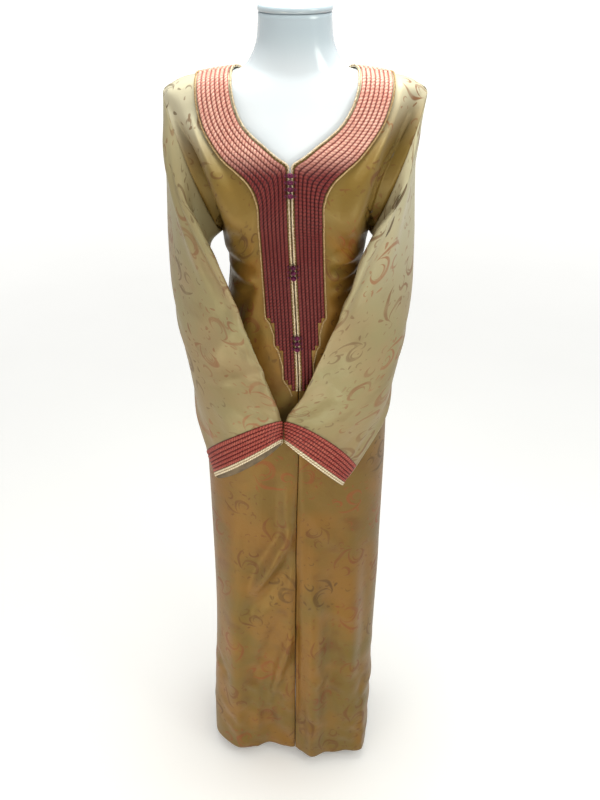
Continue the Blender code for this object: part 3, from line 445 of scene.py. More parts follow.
LEFT_SLEEVE_CREASES = (
    Crease((0.420, 0.084), (0.500, 0.080), (0.590, 0.070), 0.011, 0.0045),
    Crease((0.320, 0.060), (0.450, 0.052), (0.580, 0.034), 0.016, -0.0045),
    Crease((0.170, 0.116), (0.250, 0.080), (0.340, 0.020), 0.012, 0.0046),
    Crease((0.220, 0.120), (0.300, 0.094), (0.400, 0.064), 0.010, -0.0042),
    Crease((0.270, 0.124), (0.360, 0.080), (0.430, 0.010), 0.011, 0.0040),
    Crease((0.020, 0.024), (0.100, 0.030), (0.200, 0.034), 0.013, 0.0045),
    Crease((0.020, -0.026), (0.100, -0.040), (0.190, -0.050), 0.014, -0.0045),
    Crease((0.012, 0.088), (0.100, 0.092), (0.220, 0.096), 0.012, 0.0120),
    Crease((0.030, 0.058), (0.130, 0.062), (0.240, 0.066), 0.011, -0.0060),
    Crease((0.190, -0.118), (0.280, -0.084), (0.370, -0.034), 0.012, 0.0046),
    Crease((0.240, -0.128), (0.320, -0.100), (0.410, -0.070), 0.012, -0.0042),
    Crease((0.400, -0.110), (0.480, -0.080), (0.560, -0.060), 0.014, 0.0040),
    Crease((0.440, 0.004), (0.520, -0.006), (0.590, 0.004), 0.012, 0.0036),
    Crease((0.500, 0.040), (0.550, 0.020), (0.590, 0.024), 0.008, 0.0030),
)


# The worn shape, as in the solids

def slope(keys, values, i):
    """Slope of a smooth curve at a table's row, level at its ends and turns."""
    if i in (0, len(keys) - 1):
        return 0.0
    before = (values[i] - values[i - 1]) / (keys[i] - keys[i - 1])
    after = (values[i + 1] - values[i]) / (keys[i + 1] - keys[i])
    if before * after <= 0:
        return 0.0
    return 2 * before * after / (before + after)


def along(rows, name, at):
    """A table's named column at a place of its first column, read on a smooth curve."""
    keys = [row[0] for row in rows]
    values = [getattr(row, name) for row in rows]
    at = min(max(at, keys[0]), keys[-1])
    i = max(min(bisect_right(keys, at), len(keys) - 1) - 1, 0)
    span = keys[i + 1] - keys[i]
    t = (at - keys[i]) / span
    start = (2 * t**3 - 3 * t**2 + 1) * values[i] + (t**3 - 2 * t**2 + t) * span * slope(keys, values, i)
    end = (3 * t**2 - 2 * t**3) * values[i + 1] + (t**3 - t**2) * span * slope(keys, values, i + 1)
    return start + end


def ease(low, high, value):
    """0 below low, 1 above high, smooth between."""
    t = min(max((value - low) / (high - low), 0.0), 1.0)
    return t * t * (3 - 2 * t)


def reach(point):
    """Under 1 inside the worn shape, over 1 outside it."""
    x, y, z = point
    depth = along(BODY, "front" if y < 0 else "back", z)
    square = along(BODY, "square", z)
    across = abs(x - along(BODY, "middle", z)) / along(BODY, "half", z)
    return across**square + abs(y / depth)**square


def outward(point):
    """Unit normal of the worn shape near a point."""
    step = 0.0008
    axes = (Vector((step, 0, 0)), Vector((0, step, 0)), Vector((0, 0, step)))
    normal = Vector([reach(point + axis) - reach(point - axis) for axis in axes])
    if abs(point.y) < 2 * SEAM:
        normal.y = 0.0
    return normal.normalized()


def walk_out(start, direction):
    """The point where a ray from inside leaves the worn shape."""
    direction = direction.normalized()
    near, far = 0.0, 0.5
    for _ in range(34):
        middle = (near + far) / 2
        if reach(start + direction * middle) < 1:
            near = middle
        else:
            far = middle
    return start + direction * near


def shoulder_height(x):
    """Height of the shoulder line over a distance from the centre."""
    low, high = SHOULDER_TIP, SHOULDER_TOP
    for _ in range(30):
        middle = (low + high) / 2
        if along(BODY, "half", middle) > abs(x):
            low = middle
        else:
            high = middle
    return low


def on_body(guess):
    """Moves a rough point out onto the worn shape."""
    share = ease(1.28, 1.40, guess.z)
    middle = along(BODY, "middle", guess.z)
    level = min(guess.z, shoulder_height(guess.x) - 0.055)
    start = Vector((middle + share * (guess.x - middle), 0.0, level))
    return walk_out(start, guess - start)


def over(x, z, facing):
    """The point of the worn shape's front (-1) or back (1) at a place of the front view."""
    z = min(z, shoulder_height(x))
    start = Vector((x, facing * SEAM / 2, z))
    if reach(start) >= 1:
        return start
    return walk_out(start, Vector((0, facing, 0)))


def armhole(z, side, facing):
    """A point of the armhole at a height."""
    turn = min(max((z - ARMHOLE_MIDDLE.z) / ARMHOLE_HALF.z, -1.0), 1.0)
    depth = max(ARMHOLE_DEPTH * math.sqrt(1 - turn * turn), SEAM / 2)
    return Vector((side * (ARMHOLE_MIDDLE.x + ARMHOLE_HALF.x * turn), facing * depth, z))


def side_edge(z, side, facing):
    """The outer edge of a panel at a height: its armhole, or the side seam under the armpit."""
    if z >= ARMPIT.z:
        return armhole(z, side, facing)
    start = Vector((0.0, facing * SEAM / 2, z))
    return walk_out(start, Vector((side, 0, 0)))


def folded(point, folds, facing):
    """Moves a point of the skirt forward or back by the folds that reach it."""
    lift = 0.0
    for fold in folds:
        fade = 1 - ease(HEM, fold.top, point.z)
        lift += fold.height * fade * math.exp(-((point.x - fold.x) / fold.half_width)**2)
    return point + Vector((0, facing * lift * abs(outward(point).y), 0))


def band_offsets(row_pitch):
    """Distances from the neck or centre edge to each line that the trims follow."""
    lines = [0.0] + [EDGE_CORD + row_pitch * i for i in range(CORDS + 1)]
    return lines + [lines[-1] + PIPING]


def front_grid(side):
    """Outer points of a front panel, a list for each row from the shoulder down."""
    rows = []
    for number, row in enumerate(FRONT_ROWS):
        edge = Vector((side * row.edge_half + along(CENTRE, "x", row.edge_z), row.edge_z))
        band = Vector((side * row.band_half + along(CENTRE, "x", row.band_z), row.band_z))
        lines = band_offsets(CORD_PITCH)
        points = []
        for line in lines:
            flat = edge.lerp(band, line / lines[-2])
            height = shoulder_height(flat.x) if number == 0 else flat.y
            points.append(over(flat.x, height, -1))
        start = points[-1]
        end = side_edge(row.side_z, side, -1)
        for column in range(1, SIDE_COLUMNS):
            guess = start.lerp(end, column / SIDE_COLUMNS)
            if number == 0:
                points.append(over(guess.x, shoulder_height(guess.x), -1))
            else:
                points.append(on_body(guess))
        points.append(end)
        rows.append([folded(point, FRONT_FOLDS, -1) for point in points])
    return rows


def back_neck_point(turn, distance):
    """A point on the back at a turn from the shoulder (0) to the other shoulder (180 degrees)."""
    x = (NECK_HALF + distance) * math.cos(turn)
    drop = math.sin(turn)**2
    level = shoulder_height(max(abs(x), NECK_HALF))
    height = (1 - drop) * level + drop * (BACK_NECK - distance)
    return over(x, height, 1)


def back_grid():
    """Outer points of the back, a list for each row from the neck edge out and down."""
    turns = [math.pi * i / BACK_COLUMNS for i in range(BACK_COLUMNS + 1)]
    rows = [[back_neck_point(turn, line) for turn in turns] for line in band_offsets(NECK_PITCH)]
    for number, row in enumerate(BACK_ROWS):
        ends = side_edge(row.side_z, 1, 1), side_edge(row.side_z, -1, 1)
        middle = over(along(BODY, "middle", row.centre_z), row.centre_z, 1)
        points = []
        for column in range(BACK_COLUMNS + 1):
            share = 2 * column / BACK_COLUMNS
            end = ends[0] if share < 1 else ends[1]
            toward = 1 - share if share < 1 else share - 1
            if toward == 1:
                points.append(end)
            else:
                points.append(on_body(middle.lerp(end, toward)))
        rows.append([folded(point, BACK_FOLDS, 1) for point in points])
    return rows


def sleeve_ring(ring, side, count):
    """Points of one ring of a sleeve, from the overarm fold round the front."""
    over_arm, front, under, back = [Vector((side * x, y, z)) for x, y, z in ring]
    middle = (over_arm + front + under + back) / 4
    skew = (over_arm + under - front - back) / 4
    points = []
    for i in range(count):
        turn = 2 * math.pi * i / count
        up = math.copysign(abs(math.cos(turn))**(2 / RING_SQUARE), math.cos(turn))
        out = math.copysign(abs(math.sin(turn))**(2 / RING_SQUARE), math.sin(turn))
        bend = skew * math.cos(2 * turn)
        points.append(middle + (over_arm - under) / 2 * up + (front - back) / 2 * out + bend)
    return points


# Fine grids

def as_array(grid):
    return np.array([[tuple(point) for point in row] for row in grid])


def gaps(points):
    """Mean distance between neighbouring rows of a grid of points."""
    return np.linalg.norm(np.diff(points, axis=0), axis=2).mean(axis=1)


def refine(values, keys, counts, limited):
    """Smoothly resamples a grid's rows: counts[i] new stretches between row i and row i + 1."""
    spans = np.diff(keys).reshape(-1, *([1] * (values.ndim - 1)))
    rises = np.diff(values, axis=0) / spans
    tangents = np.empty_like(values)
    tangents[0], tangents[-1] = rises[0], rises[-1]
    low, high = rises[:-1], rises[1:]
    if limited:
        both = low * high
        safe = np.where(np.abs(low + high) > 1e-12, low + high, 1.0)
        tangents[1:-1] = np.where(both > 0, 2 * both / safe, 0.0)
    else:
        tangents[1:-1] = (low * spans[1:] + high * spans[:-1]) / (spans[1:] + spans[:-1])
    rows = []
    for i, count in enumerate(counts):
        for step in range(count):
            t = step / count
            rows.append((2 * t**3 - 3 * t**2 + 1) * values[i] + (3 * t**2 - 2 * t**3) * values[i + 1]
                        + spans[i] * ((t**3 - 2 * t**2 + t) * tangents[i] + (t**3 - t**2) * tangents[i + 1]))
    rows.append(values[-1])
    return np.array(rows)


def row_keys(points):
    """Distance of each row of a grid from the first."""
    return np.concatenate([[0.0], np.cumsum(gaps(points))])


def finely(points):
    """A grid with its rows at the spacing of a braid's points, and the new number of each old row."""
    counts = np.maximum(np.ceil(gaps(points) / CORD_STEP), 1).astype(int)
    return refine(points, row_keys(points), counts, True), np.concatenate([[0], np.cumsum(counts)])


def refined(points, step, limited=True, extra=()):
    """Resamples a grid's rows to a spacing, and any extra grids of numbers with it."""
    keys = row_keys(points)
    counts = np.maximum(np.ceil(gaps(points) / step - 0.01), 1).astype(int)
    return [refine(points, keys, counts, limited)] + [refine(grid, keys, counts, True) for grid in extra]


def swapped(grid):
    return np.swapaxes(grid, 0, 1)


def fine_grid(points, step, mask):
    """A grid resampled both ways, with a grid of numbers that goes with it."""
    points, mask = refined(points, step, True, [mask])
    across, mask = refined(swapped(points), step, True, [swapped(mask)])
    return swapped(across), swapped(mask)


def unit(vectors):
    return vectors / np.linalg.norm(vectors, axis=-1, keepdims=True)


def grid_normals(points, side, closed=False):
    """Unit normals of a grid, outward where side is 1 for rows that run down and columns to the left."""
    if closed:
        padded = np.concatenate([points[:, -1:], points, points[:, :1]], axis=1)
        across = (padded[:, 2:] - padded[:, :-2]) / 2
    else:
        across = np.gradient(points, axis=1)
    down = np.gradient(points, axis=0)
    return unit(np.cross(down, across) * side)


def cloth_uv(points, start_column, closed=False):
    """Cloth coordinates in metres: across from a column, and up from the last row."""
    if closed:
        points = np.concatenate([points, points[:, :1]], axis=1)
    across = np.linalg.norm(np.diff(points, axis=1), axis=2)
    u = np.concatenate([np.zeros((len(points), 1)), np.cumsum(across, axis=1)], axis=1)
    u -= u[:, start_column:start_column + 1]
    v = row_keys(points)
    v = v[-1] - v
    return np.dstack([u, np.repeat(v[:, None], u.shape[1], axis=1)])


# Folds

def smooth(t):
    t = np.clip(t, 0.0, 1.0)
    return t * t * (3 - 2 * t)


def crease_field(place, crease):
    """A soft ridge (or trough, where depth is below 0) along a bent line, fading at its ends."""
    start, bend, end = (np.array(point) for point in (crease.start, crease.bend, crease.end))
    nearest = np.full(place.shape[:2], 9.0)
    along_it = np.zeros(place.shape[:2])
    turns = np.linspace(0, 1, CREASE_STEPS + 1)
    spots = [(1 - t)**2 * start + 2 * t * (1 - t) * bend + t**2 * end for t in turns]
    for i, (here, there) in enumerate(zip(spots, spots[1:])):
        reach_on = np.clip((place - here) @ (there - here) / np.sum((there - here)**2), 0, 1)
        distance = np.linalg.norm(place - here - reach_on[:, :, None] * (there - here), axis=2)
        closer = distance < nearest
        nearest = np.where(closer, distance, nearest)
        along_it = np.where(closer, (i + reach_on) / CREASE_STEPS, along_it)
    fade = np.sin(np.pi * np.clip(along_it, 0.02, 0.98))**0.6
    width = crease.width * (0.55 + 0.45 * fade)
    ridge = np.exp(-(nearest / width)**2) - 0.35 * np.exp(-((nearest - 1.9 * width) / width)**2)
    return crease.depth * fade * ridge


def form_share(points):
    """Under 1 inside the dress form, over 1 outside it."""
    levels = np.linspace(FORM[0].z, FORM[-1].z, 160)
    half, front, back, square = (np.interp(points[:, :, 2], levels, [along(FORM, name, z) for z in levels])
                                 for name in ("half", "front", "back", "square"))
    depth = np.where(points[:, :, 1] < 0, front, back)
    share = np.abs(points[:, :, 0] / half)**square + np.abs(points[:, :, 1] / depth)**square
    return np.where(points[:, :, 2] < levels[0] - 0.004, 9.0, share)


def wall_room(points, normals):
    """How far in each point of a closed grid may go before it meets the wall across from it."""
    room = np.empty(points.shape[:2])
    for i, (ring, away) in enumerate(zip(points, normals)):
        near = slice(max(i - WALL_ROWS, 0), i + WALL_ROWS + 1)
        apart = np.linalg.norm(ring[:, None] - points[near].reshape(1, -1, 3), axis=2)
        facing = away @ normals[near].reshape(-1, 3).T < -0.2
        room[i] = np.where(facing, apart, 1.0).min(axis=1) / 2
    return np.clip(room - SHELL - WALL_CLEAR, 0, None)


def pushed(points, normals, place, creases, mask, closed=False):
    """Moves a grid along its normals by its creases, with troughs kept clear of what is below."""
    field = sum((crease_field(place, crease) for crease in creases), np.zeros(mask.shape)) * mask
    if closed:
        field = np.maximum(field, -wall_room(points, normals))
    for _ in range(9):
        inner = points + normals * (field - SHELL - FORM_CLEAR)[:, :, None]
        field = np.where((form_share(inner) < 1) & (field < 0), field * 0.7, field)
    return points + normals * field[:, :, None]


# Meshes

def link(obj):
    bpy.context.scene.collection.objects.link(obj)
    return obj


def grid_faces(rows, columns, closed, flip):
    """Corner numbers of a grid's faces, and the grid place of each corner for its UVs."""
    steps = columns if closed else columns - 1
    j, i = np.meshgrid(np.arange(rows - 1), np.arange(steps), indexing="ij")
    k = (i + 1) % columns
    a, b, c, d = j * columns + i, j * columns + k, (j + 1) * columns + k, (j + 1) * columns + i
    faces = np.stack([a, d, c, b] if not flip else [a, b, c, d], axis=2).reshape(-1, 4)
    corner_j = np.stack([j, j + 1, j + 1, j] if not flip else [j, j, j + 1, j + 1], axis=2).reshape(-1)
    corner_i = np.stack([i, i, i + 1, i + 1] if not flip else [i, i + 1, i + 1, i], axis=2).reshape(-1)
    return faces, corner_j, corner_i


def mesh_object(name, vertices, faces, surface):
    """A smooth mesh that rides on the part."""
    mesh = bpy.data.meshes.new(name)
    mesh.from_pydata(np.asarray(vertices).tolist(), [], [tuple(face) for face in faces])
    mesh.materials.append(surface)
    mesh.shade_smooth()
    obj = link(bpy.data.objects.new(name, mesh))
    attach(obj, "root")
    return obj


def cloth_object(name, points, uv, surface, lining, closed=False, flip=False):
    """A thin cloth shell on a grid of points, the grid being its outer face."""
    rows, columns = points.shape[:2]
    faces, corner_j, corner_i = grid_faces(rows, columns, closed, flip)
    obj = mesh_object(name, points.reshape(-1, 3), faces.tolist(), surface)
    layer = obj.data.uv_layers.new(name="cloth")
    layer.data.foreach_set("uv", uv[corner_j, corner_i].astype(np.float32).reshape(-1))
    obj.data.materials.append(lining)
    shell = obj.modifiers.new("shell", "SOLIDIFY")
    shell.thickness = SHELL
    shell.offset = -1
    shell.material_offset = 1
    return obj


# Braids: plied cords side by side

def ply_strip(low, high, low_normals, high_normals, slant, scale, strip):
    """One plied cord between two lines: its points, and for each a share that paints shade where it is low,
    in the grooves and at the cord's sides.
    """
    length = arc_lengths((low + high) / 2)
    points = []
    painted_ply_shade = []
    for i in range(CORD_ACROSS + 1):
        share = i / CORD_ACROSS
        u = 2 * share - 1
        crown = math.sqrt(max(1 - (0.96 * u)**2, 0.0))
        ply = np.abs(np.sin(np.pi * (length / PLY_PITCH + slant * u * 0.42 + strip * 0.31)))**0.6
        height = LAID + (BRAID_HEIGHT - LAID) * scale * crown * (0.66 + 0.34 * ply)
        normal = low_normals * (1 - share) + high_normals * share
        points.append(low * (1 - share) + high * share + normal * height[:, None])
        # Painted shade share: low at the cord's sides and in the grooves between its plies
        painted_ply_shade.append(crown * (0.24 + 0.76 * ply))
    return swapped(np.array(points)), swapped(np.array(painted_ply_shade))


def braid_object(name, strips, surface, closed=False, flip=False):
    """All the plied cords of one trim as one mesh."""
    vertices = []
    faces = []
    painted_ply_shade = []
    total = 0
    for points, height in strips:
        rows, columns = points.shape[:2]
        if closed:
            points = np.concatenate([points, points[:1]])
            height = np.concatenate([height, height[:1]])
            rows += 1
        strip_faces, _, _ = grid_faces(rows, columns, False, flip)
        vertices.append(points.reshape(-1, 3))
        painted_ply_shade.append(height.reshape(-1))
        faces.append(strip_faces + total)
        total += rows * columns
    obj = mesh_object(name, np.concatenate(vertices), np.concatenate(faces).tolist(), surface)
    # The ply attribute carries the painted shade of the grooves and cord sides
    attribute = obj.data.attributes.new("ply", "FLOAT", "POINT")
    attribute.data.foreach_set("value", np.concatenate(painted_ply_shade).astype(np.float32))
    return obj


# Cords

def arc_lengths(path):
    return np.concatenate([[0.0], np.cumsum(np.linalg.norm(np.diff(path, axis=0), axis=1))])


def resampled(path, normals, step):
    """A path and its normals at an even spacing, rounded at its corners."""
    length = arc_lengths(path)
    at = np.linspace(0, length[-1], max(int(length[-1] / step), 2))
    new = [np.stack([np.interp(at, length, values[:, axis]) for axis in range(3)], axis=1)
           for values in (path, normals)]
    kernel = np.hanning(9)[1:-1]
    kernel /= kernel.sum()
    rounded = []
    for values in new:
        ends = np.concatenate([np.repeat(values[:1], 3, axis=0), values, np.repeat(values[-1:], 3, axis=0)])
        rounded.append(np.stack([np.convolve(ends[:, axis], kernel, "valid") for axis in range(3)], axis=1))
    path, normals = rounded
    return path, unit(normals)


def tube(path, radius, sides, closed=False):
    """Points of a tube round a path, a row for each point of the path."""
    if closed:
        forward = np.roll(path, -1, axis=0) - np.roll(path, 1, axis=0)
    else:
        forward = np.gradient(path, axis=0)
    forward = unit(forward)
    side = np.empty_like(path)
    last = np.cross(forward[0], (0.31, 0.52, 0.79))
    for i, ahead in enumerate(forward):
        last = last - ahead * np.dot(last, ahead)
        last = last / np.linalg.norm(last)
        side[i] = last
    up = np.cross(forward, side)
    turns = np.linspace(0, 2 * np.pi, sides, endpoint=False)
    ring = np.cos(turns)[None, :, None] * side[:, None, :] + np.sin(turns)[None, :, None] * up[:, None, :]
    return path[:, None, :] + ring * np.reshape(radius, (-1, 1, 1))


def tubes_object(name, tubes, surface):
    """Several tubes, each (points, closed), as one mesh."""
    vertices = []
    faces = []
    total = 0
    for points, closed in tubes:
        rows, columns = points.shape[:2]
        if closed:
            points = np.concatenate([points, points[:1]])
            rows += 1
        part, _, _ = grid_faces(rows, columns, True, False)
        faces += (part + total).tolist()
        if not closed:
            faces.append([total + i for i in range(columns)][::-1])
            faces.append([total + (rows - 1) * columns + i for i in range(columns)])
        vertices.append(points.reshape(-1, 3))
        total += rows * columns
    obj = mesh_object(name, np.concatenate(vertices), faces, surface)
    tidy = bmesh.new()
    tidy.from_mesh(obj.data)
    bmesh.ops.recalc_face_normals(tidy, faces=tidy.faces)
    tidy.to_mesh(obj.data)
    tidy.free()
    return obj


def plied_cord(path, normals, radius, pitch, strands):
    """Strands twisted round a path."""
    forward = unit(np.gradient(path, axis=0))
    across = np.cross(forward, normals)
    length = arc_lengths(path)
    tubes = []
    for strand in range(strands):
        turn = 2 * np.pi * (length / pitch + strand / strands)
        middle = path + (across * np.cos(turn)[:, None] + normals * np.sin(turn)[:, None]) * radius * 0.5
        tubes.append((tube(middle, radius * 0.56, 6), False))
    return tubes


def looped_cord(path, normals, reach_out, pitch, radius):
    """A thread that lies in small loops along a path."""
    forward = unit(np.gradient(path, axis=0))
    across = np.cross(forward, normals)
    length = arc_lengths(path)
    turn = 2 * np.pi * length / pitch
    middle = (path + across * (np.cos(turn) * reach_out)[:, None]
              + forward * (np.sin(turn) * pitch * 0.45)[:, None]
              + normals * (0.5 * radius * np.sin(turn / 2 + 0.4))[:, None])
    return tube(middle, radius, 5), False


# Materials

def plug(tree, slot, value):
    """Feeds an input from a wire, a colour or a number."""
    if isinstance(value, Wire):
        tree.links.new(value.socket, slot)
    else:
        slot.default_value = value


class Wire:
    """A number or vector in a material's nodes that arithmetic can be written with."""

    def __init__(self, tree, socket):
        self.tree = tree
        self.socket = socket

    def math(self, operation, *others):
        node = self.tree.nodes.new("ShaderNodeMath")
        node.operation = operation
        for slot, value in zip(node.inputs, (self, *others)):
            plug(self.tree, slot, value)
        return Wire(self.tree, node.outputs[0])

    def __add__(self, other):
        return self.math("ADD", other)

    def __sub__(self, other):
        return self.math("SUBTRACT", other)

    def __mul__(self, other):
        return self.math("MULTIPLY", other)

    def __truediv__(self, other):
        return self.math("DIVIDE", other)

    def step(self, low, high):
        """0 at low, 1 at high, smooth between."""
        node = self.tree.nodes.new("ShaderNodeMapRange")
        node.interpolation_type = "SMOOTHSTEP"
        for name, value in (("Value", self), ("From Min", low), ("From Max", high)):
            plug(self.tree, node.inputs[name], value)
        return Wire(self.tree, node.outputs["Result"])


def colour_mix(tree, share, low, high):
    """A colour between two colours."""
    node = tree.nodes.new("ShaderNodeMix")
    node.data_type = "RGBA"
    for slot, value in zip([s for s in node.inputs if s.enabled], (share, low, high)):
        plug(tree, slot, (*value, 1.0) if isinstance(value, tuple) else value)
    return Wire(tree, [s for s in node.outputs if s.enabled][0])


class Surface:
    """A material with a Principled BSDF."""

    def __init__(self, name, rough, **numbers):
        self.material = bpy.data.materials.new(name)
        self.material.use_nodes = True
        self.tree = self.material.node_tree
        self.shader = self.tree.nodes["Principled BSDF"]
        self.shader.inputs["Roughness"].default_value = rough
        for key, value in numbers.items():
            self.shader.inputs[key.replace("_", " ")].default_value = value

    def wire(self, kind, output, **settings):
        node = self.tree.nodes.new("ShaderNode" + kind)
        for key, value in settings.items():
            if key in node.inputs:
                plug(self.tree, node.inputs[key], value)
            else:
                setattr(node, key, value)
        return Wire(self.tree, node.outputs[output])

    def vector(self, operation, *values, output="Vector"):
        """Arithmetic on vectors."""
        node = self.tree.nodes.new("ShaderNodeVectorMath")
        node.operation = operation
        for slot, value in zip(node.inputs, values):
            plug(self.tree, slot, value)
        return Wire(self.tree, node.outputs[output])

    def noise(self, coordinate, scale, detail=2.0, **settings):
        return self.wire("TexNoise", "Fac", Vector=coordinate, Scale=scale, Detail=detail, **settings)

    def mix(self, share, low, high):
        return colour_mix(self.tree, share, low, high)

    def set(self, name, wire):
        self.tree.links.new(wire.socket, self.shader.inputs[name])

    def bump(self, height, distance, strength, under=None):
        node = self.tree.nodes.new("ShaderNodeBump")
        node.inputs["Distance"].default_value = distance
        node.inputs["Strength"].default_value = strength
        self.tree.links.new(height.socket, node.inputs["Height"])
        if under is not None:
            self.tree.links.new(under.socket, node.inputs["Normal"])
        return Wire(self.tree, node.outputs["Normal"])


def cloth_place(surface):
    return surface.wire("UVMap", "UV", uv_map="cloth")


def painted_light_height_share(surface, low, high, slant=0.0):
    """0 under one height of the part, 1 over another, for painting light and shade by height; with a slant
    these rise to the left side.
    """
    place = surface.wire("TexCoord", "Object")
    height = surface.wire("SeparateXYZ", "Z", Vector=place)
    return (height - surface.wire("SeparateXYZ", "X", Vector=place) * slant).step(low, high)


def fraction_round(surface, x, y, start):
    """Turn round a centre as a share of a full turn, from a start turn in degrees."""
    turn = y.math("ARCTAN2", x) - math.radians(start)
    return (turn / (2 * math.pi)).math("FRACT")


def hook(surface, x, y, centre, radius, curl, width, start, span):
    """A curled stroke of the brocade that tapers to both ends."""
    dx = x - centre[0]
    dy = y - centre[1]
    share = fraction_round(surface, dx, dy, start) / (span / 360)
    target = (share * -curl + 1.0) * radius
    off = ((dx * dx + dy * dy).math("SQRT") - target).math("ABSOLUTE")
    thick = (share * math.pi).math("SINE") * width
    inside = share.math("LESS_THAN", 1.0)
    return (off / thick.math("MAXIMUM", 0.002)).step(1.1, 0.4) * inside


def leaf(surface, x, y, centre, turn, length, width):
    """A small pointed leaf."""
    dx = x - centre[0]
    dy = y - centre[1]
    cos, sin = math.cos(math.radians(turn)), math.sin(math.radians(turn))
    along_it = (dx * cos + dy * sin) / length
    across = (dy * cos - dx * sin) / width
    tip = (along_it * 0.55 + 1.0).math("MAXIMUM", 0.1)
    return ((along_it * along_it) + (across * tip) * (across * tip)).math("SQRT").step(1.0, 0.75)


def figure_place(surface, uv, cell, seed):
    """Place inside a square of the repeat, turned by a different amount in each square."""
    uv = surface.wire("VectorRotate", "Vector", rotation_type="Z_AXIS", Vector=uv, Angle=0.23 * seed)
    scaled = surface.vector("MULTIPLY_ADD", uv, (1 / cell,) * 3, (seed * 0.37, seed * 0.61, seed * 1.7))
    chance = surface.wire("TexWhiteNoise", "Value", Vector=surface.vector("FLOOR", scaled))
    turned = surface.wire("VectorRotate", "Vector", rotation_type="Z_AXIS", Center=(0.5, 0.5, 0.0),
                          Vector=surface.vector("FRACTION", scaled), Angle=chance * (2 * math.pi))
    grow = (chance * 13.7).math("FRACT") * 0.40 + 0.85
    mirror = (chance * 7.3).math("FRACT").math("GREATER_THAN", 0.5) * 2.0 - 1.0
    x = (surface.wire("SeparateXYZ", "X", Vector=turned) - 0.5) * grow * mirror
    y = (surface.wire("SeparateXYZ", "Y", Vector=turned) - 0.5) * grow
    return x, y, chance


def union(parts):
    total = parts[0]
    for part in parts[1:]:
        total = total.math("MAXIMUM", part)
    return total


def scroll_figure(surface, uv, cell, seed):
    """The large figure: a curled hook with a second line inside it, a stem, a small hook and leaves."""
    x, y, chance = figure_place(surface, uv, cell, seed)
    strokes = [
        hook(surface, x, y, (-0.06, 0.10), 0.200, 0.45, 0.044, 200, 300),
        hook(surface, x, y, (-0.04, 0.11), 0.115, 0.35, 0.022, 215, 220),
        hook(surface, x, y, (0.14, -0.02), 0.400, 0.10, 0.040, 165, 95),
        hook(surface, x, y, (0.17, -0.22), 0.110, 0.50, 0.036, 330, 270),
    ]
    leaves = [
        leaf(surface, x, y, (-0.32, -0.13), 60, 0.055, 0.024),
        leaf(surface, x, y, (0.27, 0.17), 115, 0.060, 0.022),
        leaf(surface, x, y, (0.19, 0.27), 35, 0.050, 0.020),
        leaf(surface, x, y, (-0.20, 0.34), 150, 0.050, 0.024),
    ]
    return union(strokes), union(leaves), chance


def sprig_figure(surface, uv, cell, seed):
    """The small figure between the large ones: a comma, two leaves and a dot."""
    x, y, _ = figure_place(surface, uv, cell, seed)
    return union([
        hook(surface, x, y, (0.0, 0.05), 0.140, 0.50, 0.046, 20, 230),
        leaf(surface, x, y, (-0.18, -0.20), 40, 0.085, 0.036),
        leaf(surface, x, y, (0.20, -0.16), 130, 0.075, 0.032),
        leaf(surface, x, y, (0.25, 0.26), 10, 0.036, 0.034),
    ])


def brocade_satin(name, ground):
    """Satin with a lustrous ground, a painted highlight at the shoulders, painted shade on the bust, a
    painted shadow under the cuffs, and woven scrolls of a redder thread.
    """
    made = Surface(name, SATIN_ROUGH, IOR=SATIN_IOR)
    uv = cloth_place(made)
    wobble = made.wire("TexNoise", "Color", Vector=uv, Scale=26.0, Detail=1.0)
    moved_uv = made.vector("MULTIPLY_ADD", wobble, (FIGURE_WAVER, FIGURE_WAVER, 0.0), uv)
    strokes, leaves, chance = scroll_figure(made, moved_uv, FIGURE_CELL, 3)
    sprigs = sprig_figure(made, moved_uv, SPRIG_CELL, 8)
    wear_and_glint = made.noise(uv, 34.0, 3.0).step(0.30, 0.62)
    figure = union([strokes, leaves * 0.9, sprigs * 0.75]) * (wear_and_glint * 0.45 + 0.55)
    cloud = made.noise(uv, 9.0, 4.0).step(0.36, 0.62)
    stain = made.noise(uv, 15.0, 3.0).step(0.52, 0.74)
    colour = made.mix(stain * STAIN_SHARE, made.mix(cloud, ground.olive, ground.amber), ground.umber)
    # Painted highlight: the ground turns pale towards the shoulders, where the overhead light falls, one side
    # darker by the slant
    shoulder = painted_light_height_share(made, ground.low, ground.high, ground.slant)
    colour = made.mix(shoulder * SHOULDER_HIGHLIGHT_SHARE, colour, ground.pale)
    # Painted shadow of the sleeves and cuffs: a darker umber band across the skirt's upper part, all the way
    # round
    painted_cuff_shadow = painted_light_height_share(made, *CUFF_SHADOW_RISE) - painted_light_height_share(made, *CUFF_SHADOW_FALL)
    colour = made.mix(painted_cuff_shadow * CUFF_SHADOW_SHARE, colour, ground.umber)
    # Painted shade on the bust: a darker olive band from 1.20 m up to the painted shoulder highlight
    bust_shade = painted_light_height_share(made, *BUST_SHADE_RISE) - shoulder
    colour = made.mix(bust_shade.math("MAXIMUM", 0.0) * BUST_SHADE_SHARE, colour, ground.olive)
    thread = made.mix((chance * 5.1).math("FRACT"), ground.red, ground.brown)
    made.set("Base Color", made.mix(figure * FIGURE_STRENGTH, colour, thread))
    made.set("Roughness", figure * 0.10 + SATIN_ROUGH)
    weave = made.noise(uv, 1500.0, 1.0)
    slub = made.noise(uv, 130.0, 2.0)
    soft = made.bump(slub, 0.0016, 0.22)
    lifted_figure = made.bump(figure, 0.0006, 0.35, soft)
    made.set("Normal", made.bump(weave, 0.0003, 0.30, lifted_figure))
    made.shader.inputs["Specular Tint"].default_value = ground.lustre
    return made.material


